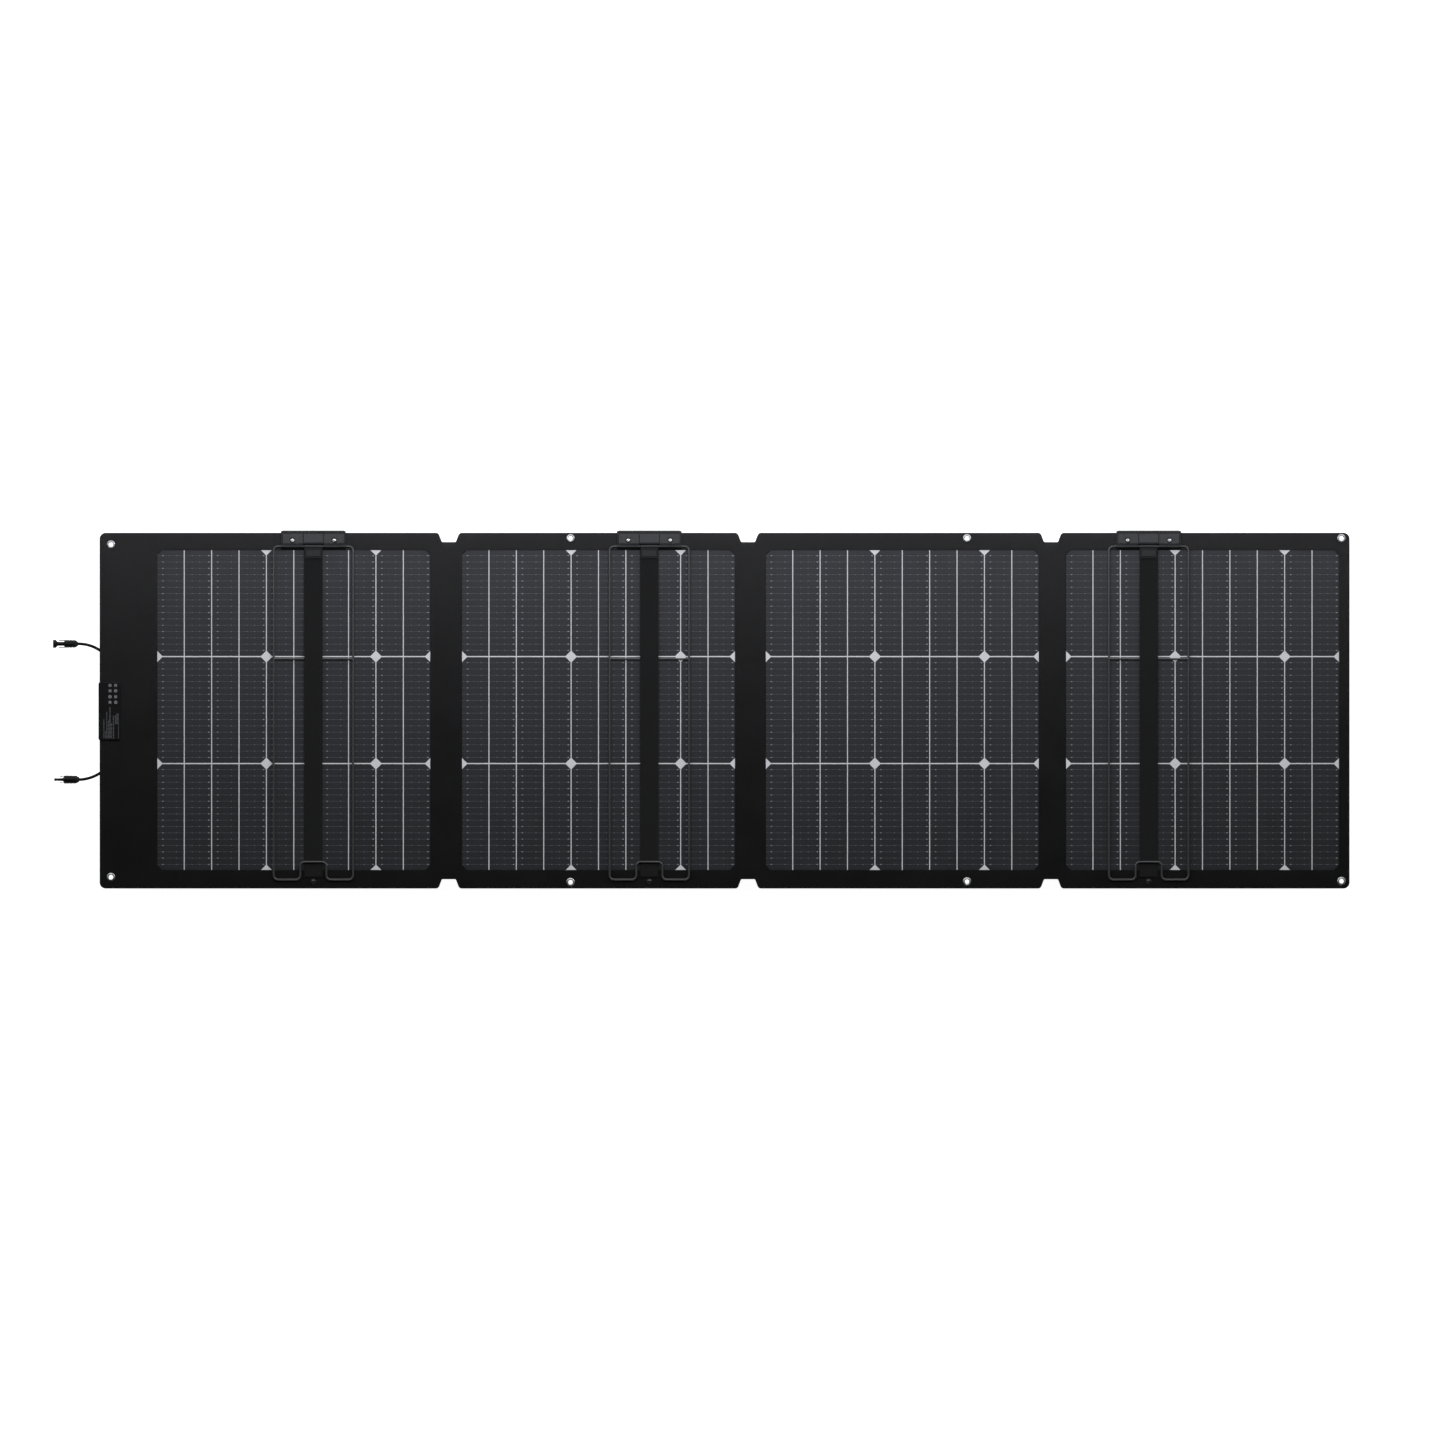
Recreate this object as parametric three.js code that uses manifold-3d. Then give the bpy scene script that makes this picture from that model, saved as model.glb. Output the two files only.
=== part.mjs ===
// A folding solar sheet lying flat with its rear face up: four cell sections joined by fabric
// folds, three wire stands hinged in clamps on the top edge, and a junction box with two leads.
// Millimetres. X runs along the row of sections, Y up the sheet, Z out of the rear face.
// The origin is on the ground under the middle of the sheet.
import * as THREE from 'three';
import * as BufferGeometryUtils from 'three/addons/utils/BufferGeometryUtils.js';
import Module from 'manifold-3d';

const wasm = await Module();
wasm.setup();

// Driving dimensions -----------------------------------------------------------------------

const GAP = 0.3;                 // clearance between pieces that meet

// The sheet's outline
const SHEET = { left: -1074, right: 1076, top: 304, bottom: -308, corner: 10.5 };
const FOLD_X = [-473.3, 41.3, 562.4];
const FOLD_STRIP_HALF = 9.5;     // half the width of the fabric left bare at a fold
const NOTCH_DEPTH = 16;          // the notch at both ends of each fold
const NOTCH_MOUTH_HALF = 17.9;
const NOTCH_FLOOR_HALF = 11.9;

// Heights above the ground
const UNDERSIDE = 1.5;
const REAR = 6.5;
const FRONT_FILM = { low: 1.8, high: 2.3 };
const WEB = { low: 2.6, high: 4.6 };          // the plate that carries the cells
const CELL_FACE = 5.9;
const STRIP_FABRIC = { low: 3.1, high: 6.1 };

// Cells: quarter-cut 182 mm wafers, ten strips by three rows
const STRIP_WIDTH = 45.5;
const STRIP_GAP = 1.6;
const STRIPS = 10;
const ROW_HEIGHT = 182;
const ROW_GAP = 2;
const ROWS = 3;
const WAFER_CHAMFER = 8.5;
const STRIPS_PER_WAFER = 4;
const CELLS_Y = -1;              // middle of the cell area
const RIM = 4;                   // how far the web reaches into the border

// Stands
const PIVOT = { y: 280.5, z: 9.7 };
const WIRE_R = 1.6;
const WIRE_BEND = 7.5;
const LEG_HALF = 68.3;
const FOOT_Y = -292.6;
const GRIP = { half: 22.4, y: -262.2 };       // finger grip bent into the foot
const CROSSBAR = { y: 87, r: 1.5 };
const STRAP = { half: 16, thickness: 1, end: -287.8 };
const CLIP = { half: 15, end: 259.7, leaf: 1.4 };
const KNUCKLE = { bore: 1.9, outer: 2.9 };
const CLAMP = { half: 55.8, bottom: 284, top: 308, height: 13, jaw: 1.2, wall: 11 };
const CLAMP_NOTCH_HALF = 17;
const SCREW = { x: 36.1, y: 290.7, shank: 2, head: 3.75, sink: 5.2, seat: 10.6 };
const STUD = { y: -296, r: 4.8, shank: 2 };

// Eyelets and the junction box
const EYELET = { hole: 3.7, barrel: 5, flange: 7.2, lip: 1.2 };
const BOX = { left: -1076, right: -1038, bottom: -53, top: 47, corner: 3.5, height: 9.4, wall: 2 };
const GLAND = { half: 5.5, length: 5, height: 5.2 };
const LEAD_R = 2.5;

const SECTIONS = [
  { left: SHEET.left, right: FOLD_X[0], cells: -740, stand: -706.4,
    eyelets: [[-1054.4, 283.8], [-1054.4, -288.1]] },
  { left: FOLD_X[0], right: FOLD_X[1], cells: -215.9, stand: -128.5,
    eyelets: [[-264, 294.5], [-264, -296.7]] },
  { left: FOLD_X[1], right: FOLD_X[2], cells: 306.6, stand: null,
    eyelets: [[418, 294.5], [418, -295.8]] },
  { left: FOLD_X[2], right: SHEET.right, cells: 823, stand: 730.5,
    eyelets: [[1062, 294.5], [1062, -295]] },
];

// The two leads: out of the junction box, round under the margin and out over the left edge
const LEAD_POINTS = [
  [[-1056, 52.3, 2.7], [-1056, 60, 2.7], [-1056, 69, 2.7], [-1056.6, 75.9, 2.7], [-1058.4, 82.5, 2.7],
    [-1061.3, 88.8, 2.7], [-1065.2, 94.4, 2.7], [-1070.1, 99.3, 2.7], [-1074, 102.1, 2.7],
    [-1080.1, 105.6, 3.1], [-1087.6, 108.9, 4.2], [-1095.4, 111.2, 5.6], [-1101.5, 112.3, 6.6],
    [-1106.2, 112.8, 7.05], [-1110.8, 112.9, 7.2]],
  [[-1056, -58.3, 2.7], [-1056, -66, 2.7], [-1056, -76.7, 2.7], [-1056.6, -83.6, 2.7],
    [-1058.4, -90.2, 2.7], [-1061.3, -96.5, 2.7], [-1065.2, -102.1, 2.7], [-1070.1, -107, 2.7],
    [-1074, -109.8, 2.7], [-1080.1, -113.3, 3.1], [-1087.6, -116.6, 4.2], [-1095.4, -118.9, 5.6],
    [-1100.2, -119.8, 6.5], [-1104.4, -120.4, 7], [-1108.5, -120.6, 7.2]],
];

// Finishes -----------------------------------------------------------------------------------

const finish = (color, roughness, metalness) =>
  new THREE.MeshStandardMaterial({ color, roughness, metalness });
const fabricFinish = finish(0x26272b, 0.8, 0);
const cellFinish = finish(0x383a44, 0.35, 0.1);
const gapFinish = finish(0xc4c5ca, 0.6, 0);
const filmFinish = finish(0x1d2330, 0.25, 0);
const wireFinish = finish(0x191919, 0.35, 0.6);
const clampFinish = finish(0x3a3b3f, 0.45, 0);
const webbingFinish = finish(0x202122, 0.75, 0);
const steelFinish = finish(0xc2c3c6, 0.3, 0.9);
const plasticFinish = finish(0x161617, 0.5, 0);
const boardFinish = finish(0x1f4a2c, 0.6, 0);
const rubberFinish = finish(0x0c0c0c, 0.6, 0);

// Solids ---------------------------------------------------------------------------------------

function solid(geometry) {
  const bare = geometry.clone();
  bare.deleteAttribute('normal');
  bare.deleteAttribute('uv');
  const merged = BufferGeometryUtils.mergeVertices(bare, 1e-4);
  const vertProperties = Float32Array.from(merged.attributes.position.array);
  const triVerts = Uint32Array.from(merged.index.array);
  return new wasm.Manifold(new wasm.Mesh({ numProp: 3, vertProperties, triVerts }));
}

function join(parts) {
  return parts.reduce((whole, part) => whole.add(part));
}

function cut(whole, tools) {
  return tools.reduce((rest, tool) => rest.subtract(tool), whole);
}

function geometryOf(manifold) {
  const mesh = manifold.getMesh();
  const geometry = new THREE.BufferGeometry();
  geometry.setAttribute('position', new THREE.BufferAttribute(mesh.vertProperties, 3));
  geometry.setIndex(new THREE.BufferAttribute(mesh.triVerts, 1));
  geometry.computeVertexNormals();
  return geometry;
}

// A closed outline from corners [x, y, r], r being how far from the corner its rounding starts.
function outline(corners) {
  const shape = new THREE.Shape();
  const count = corners.length;
  corners.forEach(([x, y, r = 0], i) => {
    const corner = new THREE.Vector2(x, y);
    const towards = ([nx, ny]) => new THREE.Vector2(nx, ny).sub(corner).setLength(r).add(corner);
    const start = r ? towards(corners[(i + count - 1) % count]) : corner;
    const end = r ? towards(corners[(i + 1) % count]) : corner;
    if (i === 0) shape.moveTo(start.x, start.y);
    else shape.lineTo(start.x, start.y);
    if (r) shape.quadraticCurveTo(x, y, end.x, end.y);
  });
  return shape;
}

function slab(shape, low, high) {
  const geometry = new THREE.ExtrudeGeometry(shape, {
    depth: high - low, bevelEnabled: false, curveSegments: 4 });
  return solid(geometry.translate(0, 0, low));
}

function block(x0, x1, y0, y1, z0, z1) {
  const geometry = new THREE.BoxGeometry(x1 - x0, y1 - y0, z1 - z0);
  return solid(geometry.translate((x0 + x1) / 2, (y0 + y1) / 2, (z0 + z1) / 2));
}

// A profile in Y and Z, drawn out along X.
function profileAlongX(shape, x0, x1) {
  const geometry = new THREE.ExtrudeGeometry(shape, { depth: x1 - x0, bevelEnabled: false });
  const turn = new THREE.Matrix4().makeBasis(
    new THREE.Vector3(0, 1, 0), new THREE.Vector3(0, 0, 1), new THREE.Vector3(1, 0, 0));
  return solid(geometry.applyMatrix4(turn).translate(x0, 0, 0));
}

function rodAlongX(x0, x1, y, z, radius, sides = 12) {
  const geometry = new THREE.CylinderGeometry(radius, radius, x1 - x0, sides);
  return solid(geometry.rotateZ(Math.PI / 2).translate((x0 + x1) / 2, y, z));
}

function rodAlongZ(x, y, z0, z1, radius, sides = 12) {
  const geometry = new THREE.CylinderGeometry(radius, radius, z1 - z0, sides);
  return solid(geometry.rotateX(Math.PI / 2).translate(x, y, (z0 + z1) / 2));
}

function turned(points, sides) {
  const profile = points.map(([r, z]) => new THREE.Vector2(r, z));
  return new THREE.LatheGeometry(profile, sides).rotateX(Math.PI / 2);
}

// A curve whose sections stand exactly at the given stations, so straight runs stay unbroken.
class StationCurve extends THREE.Curve {
  constructor(stations) {
    super();
    this.stations = stations;
  }

  getPoint(t, target = new THREE.Vector3()) {
    const last = this.stations.length - 1;
    const place = Math.min(Math.max(t, 0), 1) * last;
    const index = Math.min(Math.floor(place), last - 1);
    return target.lerpVectors(this.stations[index], this.stations[index + 1], place - index);
  }

  getPointAt(u, target) {
    return this.getPoint(u, target);
  }

  getTangentAt(u, target = new THREE.Vector3()) {
    const last = this.stations.length - 1;
    const index = Math.round(u * last);
    const here = this.stations[index];
    const back = index > 0 ? here.clone().sub(this.stations[index - 1]).normalize() : null;
    const ahead = index < last ? this.stations[index + 1].clone().sub(here).normalize() : null;
    return target.copy(back || ahead).add(ahead || back).normalize();
  }
}

function circle(radius, sides) {
  const points = Array.from({ length: sides }, (_, i) => {
    const angle = (i + 0.5) * 2 * Math.PI / sides;
    return new THREE.Vector2(radius * Math.cos(angle), radius * Math.sin(angle));
  });
  return new THREE.Shape(points);
}

function sweep(curve, steps, radius, sides) {
  return new THREE.ExtrudeGeometry(circle(radius, sides), { steps, extrudePath: curve });
}

// The scene ----------------------------------------------------------------------------------------

const group = new THREE.Group();

function place(parent, name, shape, material) {
  const geometry = shape.isBufferGeometry ? shape : geometryOf(shape);
  const mesh = new THREE.Mesh(geometry, material.clone());
  mesh.name = name;
  parent.add(mesh);
  return mesh;
}

// Cells ----------------------------------------------------------------------------------------------

const CELLS_HALF_WIDTH = (STRIPS * STRIP_WIDTH + (STRIPS - 1) * STRIP_GAP) / 2;
const CELLS_HALF_HEIGHT = (ROWS * ROW_HEIGHT + (ROWS - 1) * ROW_GAP) / 2;

// A rectangle grown by a margin, with the corners named in chamfered cut off.
function chamferedRectangle(x0, x1, y0, y1, margin, chamfered) {
  const reach = WAFER_CHAMFER + margin * (2 - Math.SQRT2);
  const corners = [[x0, y0, 1, 1], [x1, y0, -1, 1], [x1, y1, -1, -1], [x0, y1, 1, -1]];
  const points = [];
  corners.forEach(([x, y, inX, inY], i) => {
    const cornerX = x - inX * margin;
    const cornerY = y - inY * margin;
    if (!chamfered(inX)) {
      points.push(new THREE.Vector2(cornerX, cornerY));
      return;
    }
    const alongX = new THREE.Vector2(cornerX + inX * reach, cornerY);
    const alongY = new THREE.Vector2(cornerX, cornerY + inY * reach);
    points.push(...(i % 2 ? [alongX, alongY] : [alongY, alongX]));
  });
  return new THREE.Shape(points);
}

function cellArea(centre, margin) {
  return chamferedRectangle(
    centre - CELLS_HALF_WIDTH, centre + CELLS_HALF_WIDTH,
    CELLS_Y - CELLS_HALF_HEIGHT, CELLS_Y + CELLS_HALF_HEIGHT, margin, () => true);
}

// Every strip's outline: a wafer's chamfers are on the outer sides of its first and last strip,
// and the last two strips of a row are the outer strips of one wafer.
function stripOutlines(centre, margin) {
  const shapes = [];
  for (let row = 0; row < ROWS; row += 1) {
    const y0 = CELLS_Y - CELLS_HALF_HEIGHT + row * (ROW_HEIGHT + ROW_GAP);
    for (let strip = 0; strip < STRIPS; strip += 1) {
      const x0 = centre - CELLS_HALF_WIDTH + strip * (STRIP_WIDTH + STRIP_GAP);
      const first = strip % STRIPS_PER_WAFER === 0;
      const last = strip % STRIPS_PER_WAFER === STRIPS_PER_WAFER - 1 || strip === STRIPS - 1;
      const chamfered = (inX) => (inX > 0 ? first : last);
      shapes.push(chamferedRectangle(x0, x0 + STRIP_WIDTH, y0, y0 + ROW_HEIGHT, margin, chamfered));
    }
  }
  return shapes;
}

// The cells stand as thirty raised pads on one web, whose rim is held in the border's groove.
function cellPlate(centre) {
  const web = slab(cellArea(centre, RIM), WEB.low, WEB.high);
  const pads = stripOutlines(centre, -GAP).map((shape) => slab(shape, WEB.high - 0.2, CELL_FACE));
  return join([web, ...pads]);
}

// The light film between the cells is one lattice, let into the channels between the pads.
function gapFilm(centre) {
  const sheet = slab(cellArea(centre, -0.05), WEB.high + GAP, CELL_FACE);
  const holes = stripOutlines(centre, 0).map((shape) => slab(shape, WEB.high, CELL_FACE + 1));
  return cut(sheet, holes);
}

// Border ---------------------------------------------------------------------------------------------

// The end of a section at a fold, going up: half of the notch at the bottom, then at the top.
function foldEnd(x, side) {
  const inward = -side;
  return [
    [x + inward * NOTCH_MOUTH_HALF, SHEET.bottom, 4.5],
    [x + inward * NOTCH_FLOOR_HALF, SHEET.bottom + NOTCH_DEPTH, 1.8],
    [x + inward * (FOLD_STRIP_HALF + GAP), SHEET.bottom + NOTCH_DEPTH],
    [x + inward * (FOLD_STRIP_HALF + GAP), SHEET.top - NOTCH_DEPTH],
    [x + inward * NOTCH_FLOOR_HALF, SHEET.top - NOTCH_DEPTH, 1.8],
    [x + inward * NOTCH_MOUTH_HALF, SHEET.top, 4.5],
  ];
}

function plainEnd(x) {
  return [[x, SHEET.bottom, SHEET.corner], [x, SHEET.top, SHEET.corner]];
}

function sectionOutline({ left, right }) {
  const rightEnd = right === SHEET.right ? plainEnd(right) : foldEnd(right, 1);
  const leftEnd = left === SHEET.left ? plainEnd(left) : foldEnd(left, -1);
  return outline([...rightEnd, ...leftEnd.reverse()]);
}

function border(section) {
  const tools = [
    slab(cellArea(section.cells, GAP), UNDERSIDE - 1, REAR + 1),
    slab(cellArea(section.cells, RIM + GAP), WEB.low - GAP, WEB.high + GAP),
    ...section.eyelets.map(([x, y]) =>
      rodAlongZ(x, y, UNDERSIDE - 1, REAR + 1, EYELET.barrel + GAP, 16)),
  ];
  if (section.stand !== null) {
    const hole = (x, y) => rodAlongZ(x, y, UNDERSIDE - 1, REAR + 1, SCREW.shank + GAP);
    tools.push(hole(section.stand - SCREW.x, SCREW.y), hole(section.stand + SCREW.x, SCREW.y));
    tools.push(hole(section.stand, STUD.y));
  }
  if (section.left === SHEET.left) tools.push(...junctionCutouts());
  return cut(slab(sectionOutline(section), UNDERSIDE, REAR), tools);
}

function foldStrip(x) {
  const y0 = SHEET.bottom + NOTCH_DEPTH;
  const y1 = SHEET.top - NOTCH_DEPTH;
  return block(x - FOLD_STRIP_HALF, x + FOLD_STRIP_HALF, y0, y1, STRIP_FABRIC.low, STRIP_FABRIC.high);
}

function eyelet() {
  const { hole, barrel, flange, lip } = EYELET;
  const seat = REAR + GAP;
  return turned([
    [hole, 0], [flange, 0], [flange, lip], [barrel, lip], [barrel, seat], [flange, seat],
    [flange - 0.8, seat + lip], [hole + 0.5, seat + lip], [hole, seat + lip - 0.5], [hole, 0],
  ], 12);
}

// Stands, each drawn about X = 0 -------------------------------------------------------------

function legStations() {
  const corners = [
    [LEG_HALF, PIVOT.y], [LEG_HALF, FOOT_Y], [GRIP.half, FOOT_Y], [GRIP.half, GRIP.y],
    [-GRIP.half, GRIP.y], [-GRIP.half, FOOT_Y], [-LEG_HALF, FOOT_Y], [-LEG_HALF, PIVOT.y],
  ].map(([x, y]) => new THREE.Vector3(x, y, PIVOT.z));
  const ends = [0.5, -0.5].map((x) => new THREE.Vector3(x, PIVOT.y, PIVOT.z));
  const route = [ends[0], ...corners, ends[1]];
  const stations = [ends[0]];
  for (let i = 1; i < route.length - 1; i += 1) {
    const along = route[i].clone().sub(route[i - 1]).normalize();
    const next = route[i + 1].clone().sub(route[i]).normalize();
    const centre = route[i].clone().addScaledVector(along, -WIRE_BEND).addScaledVector(next, WIRE_BEND);
    for (let step = 0; step <= 4; step += 1) {
      const angle = step * Math.PI / 8;
      stations.push(centre.clone()
        .addScaledVector(along, WIRE_BEND * Math.sin(angle))
        .addScaledVector(next, -WIRE_BEND * Math.cos(angle)));
    }
  }
  stations.push(ends[1]);
  return stations;
}

// One bent wire with the crossbar welded between its side legs.
function legWire() {
  const stations = legStations();
  const wire = solid(sweep(new StationCurve(stations), stations.length - 1, WIRE_R, 8));
  const bar = rodAlongX(-LEG_HALF + 0.5, LEG_HALF - 0.5, CROSSBAR.y, PIVOT.z, CROSSBAR.r, 8);
  return join([wire, bar]);
}

// A clip folded round the pivot wire: a ring, and two leaves with the strap's end between them.
function strapClip() {
  const low = STRAP_PATH[0][1] - STRAP.thickness / 2 - GAP;
  const high = STRAP_PATH[0][1] + STRAP.thickness / 2 + GAP;
  const ring = rodAlongX(-CLIP.half, CLIP.half, PIVOT.y, PIVOT.z, KNUCKLE.outer, 16);
  const leaf = (z0) => block(-CLIP.half, CLIP.half, CLIP.end, PIVOT.y - 1, z0, z0 + CLIP.leaf);
  const pad = block(-11, 11, CLIP.end + 3, CLIP.end + 13, high + 1, high + CLIP.leaf + 0.4);
  const bore = rodAlongX(-CLIP.half - 1, CLIP.half + 1, PIVOT.y, PIVOT.z, KNUCKLE.bore, 16);
  return cut(join([ring, leaf(low - CLIP.leaf), leaf(high), pad]), [bore]);
}

// The strap's middle line from the clip over the crossbar and down behind the grip: [y, z].
const STRAP_PATH = [
  [274, 9.4], [254, 9.4], [190, 10.2], [130, 11.4], [100, 12], [74, 12], [44, 11.4],
  [-60, 9.2], [-180, 7.6], [-240, 7.3], [STRAP.end, 7.3],
];

function strap() {
  const half = STRAP.thickness / 2;
  const above = STRAP_PATH.map(([y, z]) => new THREE.Vector2(y, z + half));
  const below = STRAP_PATH.map(([y, z]) => new THREE.Vector2(y, z - half)).reverse();
  return profileAlongX(new THREE.Shape([...below, ...above]), -STRAP.half, STRAP.half);
}

// A clamp hooked over the sheet's top edge, with a knuckle for the pivot wire on each side.
function clamp() {
  const { half, bottom, top, height, jaw, wall } = CLAMP;
  const plateLow = REAR + GAP;
  const inside = SHEET.top + GAP;
  const hook = outline([
    [bottom, 0], [top, 0], [top, wall], [SHEET.top, wall], [SHEET.top, height], [bottom, height],
    [bottom, plateLow], [inside, plateLow], [inside, jaw], [bottom, jaw],
  ]);
  const knuckles = [-1, 1].map((side) => {
    const [x0, x1] = [side * CLAMP_NOTCH_HALF, side * half].sort((a, b) => a - b);
    const ring = rodAlongX(x0, x1, PIVOT.y, PIVOT.z, KNUCKLE.outer, 16);
    return ring.add(block(x0, x1, PIVOT.y, bottom + 1, PIVOT.z - 1.6, PIVOT.z + 1.6));
  });
  const trim = outline([
    [-half, 270], [half, 270], [half, top - 3.5], [half - 3.5, top], [3.5 - half, top],
    [-half, top - 3.5],
  ]);
  const body = join([profileAlongX(hook, -half, half), ...knuckles]).intersect(slab(trim, -1, 20));
  const screwCuts = [-SCREW.x, SCREW.x].flatMap((x) => [
    rodAlongZ(x, SCREW.y, -1, height + 1, SCREW.shank + GAP),
    rodAlongZ(x, SCREW.y, SCREW.seat, height + 1, SCREW.sink, 16),
  ]);
  return cut(body, [
    rodAlongX(-half - 1, half + 1, PIVOT.y, PIVOT.z, KNUCKLE.bore, 16),
    block(-16.3, 16.3, bottom - 1, SHEET.top - 0.6, height - 0.7, height + 1),
    ...screwCuts,
  ]);
}

function clampScrew() {
  const { shank, head, seat } = SCREW;
  const under = seat + GAP;
  const crown = CLAMP.height - 0.1;
  return turned([
    [0, GAP], [shank, GAP], [shank, under], [head, under], [head, crown - 0.5],
    [head - 0.6, crown], [0, crown],
  ], 12);
}

function stud() {
  const seat = REAR + GAP;
  return turned([
    [0, GAP], [STUD.r - 0.8, GAP], [STUD.r - 0.8, UNDERSIDE - GAP], [STUD.shank, UNDERSIDE - GAP],
    [STUD.shank, seat], [STUD.r, seat], [STUD.r, seat + 1], [STUD.r - 1.2, seat + 2.2],
    [0, seat + 2.6],
  ], 12);
}

// Junction box and leads -----------------------------------------------------------------------

function leadCurve(points) {
  return new THREE.CatmullRomCurve3(points.map((point) => new THREE.Vector3(...point)));
}

const LEAD_STEPS = 12;

function boxFootprint(inset) {
  const { left, right, bottom, top, corner } = BOX;
  const r = Math.max(corner - inset, 1);
  return outline([
    [left + inset, bottom + inset, r], [right - inset, bottom + inset, r],
    [right - inset, top - inset, r], [left + inset, top - inset, r],
  ]);
}

const TUB = { right: BOX.right - 3.3, bottom: BOX.bottom + 3.3, top: BOX.top - 3.3 };

function glandBlock(side, grow) {
  const tub = side > 0 ? TUB.top : TUB.bottom;
  const end = side > 0 ? BOX.top + GLAND.length : BOX.bottom - GLAND.length;
  const x = LEAD_POINTS[0][0][0];
  const [y0, y1] = [tub - side, end + side * grow].sort((a, b) => a - b);
  return block(x - GLAND.half - grow, x + GLAND.half + grow, y0, y1, 0, GLAND.height + grow);
}

// What the margin of the first section gives up: the box's bite, its glands and the leads' channels.
function junctionCutouts() {
  const bite = block(SHEET.left - 5, TUB.right + GAP, TUB.bottom - GAP, TUB.top + GAP, 0, REAR + 1);
  const channels = LEAD_POINTS.map((points) =>
    solid(sweep(leadCurve(points), LEAD_STEPS, LEAD_R + GAP, 10)));
  return [bite, glandBlock(1, GAP), glandBlock(-1, GAP), ...channels];
}

function junctionBase() {
  const { left, wall } = BOX;
  const flange = slab(boxFootprint(0), 0, UNDERSIDE - GAP);
  const tub = block(left, TUB.right, TUB.bottom, TUB.top, 0, REAR);
  const hollow = block(left + wall, TUB.right - wall, TUB.bottom + wall, TUB.top - wall,
    UNDERSIDE, REAR + 1);
  return cut(join([flange, tub, glandBlock(1, 0), glandBlock(-1, 0)]), [hollow]);
}

function junctionCover() {
  const low = REAR + GAP;
  const shell = slab(boxFootprint(0), low, BOX.height);
  const hollow = slab(boxFootprint(4), low - 1, low + 1);
  const label = slab(boxFootprint(3), BOX.height - 0.3, BOX.height + 1);
  return cut(shell, [hollow, label]);
}

function diodeBoard() {
  const board = block(BOX.left + 5, TUB.right - 5, TUB.bottom + 5, TUB.top - 5, 2, 3.4);
  const diodes = [-30, -3, 24].map((y) => block(-1064, -1053, y - 7, y + 7, 3.2, 5.6));
  return join([board, ...diodes]);
}

// A connector's turned pieces lie along X from its cable end; [how far in, radius].
function alongLead(points, end, sides) {
  const profile = points.map(([x, r]) => new THREE.Vector2(r, x));
  return new THREE.LatheGeometry(profile, sides).rotateZ(Math.PI / 2).translate(...end);
}

function latchArms(end, from, to, offset, thickness, width) {
  return [-1, 1].map((side) => {
    const y = end[1] + side * offset;
    return block(end[0] - to, end[0] - from, y - thickness / 2, y + thickness / 2,
      end[2] - width / 2, end[2] + width / 2);
  });
}

function socketConnector(end) {
  const body = solid(alongLead([
    [10.3, 0], [10.3, 6.7], [23.6, 6.7], [23.6, 3.4], [35.5, 3.4], [38.2, 7.1], [43.4, 7.1],
    [43.4, 2.4], [26, 2.4], [26, 0],
  ], end, 14));
  return join([body, ...latchArms(end, 23, 33.4, 5.9, 1.5, 5)]);
}

function plugConnector(end) {
  const body = solid(alongLead([
    [12.3, 0], [12.3, 7.1], [26.7, 7.1], [28.7, 2.6], [40.5, 2.2], [40.5, 2.5], [43.2, 2.5],
    [43.6, 0],
  ], end, 14));
  const tips = latchArms(end, 30.6, 33.4, 5.4, 1.6, 4);
  return join([body, ...latchArms(end, 26, 33, 5.4, 1, 4), ...tips]);
}

function glandNut(end, length, small, large) {
  return alongLead([
    [GAP, 0], [GAP, small], [length * 0.5, large], [length, large], [length, 0],
  ], end, 8);
}

// Assembly ------------------------------------------------------------------------------------------

SECTIONS.forEach((section, i) => {
  const n = i + 1;
  place(group, `border_${n}`, border(section), fabricFinish);
  place(group, `cells_${n}`, cellPlate(section.cells), cellFinish);
  place(group, `gap_film_${n}`, gapFilm(section.cells), gapFinish);
  const film = slab(cellArea(section.cells, 0), FRONT_FILM.low, FRONT_FILM.high);
  place(group, `front_film_${n}`, film, filmFinish);
  section.eyelets.forEach(([x, y], side) => {
    const name = `eyelet_${n}_${side === 0 ? 'top' : 'bottom'}`;
    place(group, name, eyelet(), steelFinish).position.set(x, y, 0);
  });
});

FOLD_X.forEach((x, i) => {
  place(group, `fold_strip_${i + 1}${i + 2}`, foldStrip(x), fabricFinish);
});

SECTIONS.filter((section) => section.stand !== null).forEach((section, i) => {
  const n = i + 1;
  const stand = new THREE.Group();
  stand.position.x = section.stand;
  group.add(stand);
  place(stand, `stand_clamp_${n}`, clamp(), clampFinish);
  place(stand, `clamp_screw_${n}_left`, clampScrew(), steelFinish).position.set(-SCREW.x, SCREW.y, 0);
  place(stand, `clamp_screw_${n}_right`, clampScrew(), steelFinish).position.set(SCREW.x, SCREW.y, 0);
  place(stand, `leg_wire_${n}`, legWire(), wireFinish);
  place(stand, `strap_clip_${n}`, strapClip(), clampFinish);
  place(stand, `strap_${n}`, strap(), webbingFinish);
  place(stand, `strap_stud_${n}`, stud(), plasticFinish).position.set(0, STUD.y, 0);
});

place(group, 'junction_base', junctionBase(), plasticFinish);
place(group, 'junction_cover', junctionCover(), plasticFinish);
place(group, 'diode_board', diodeBoard(), boardFinish);

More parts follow.
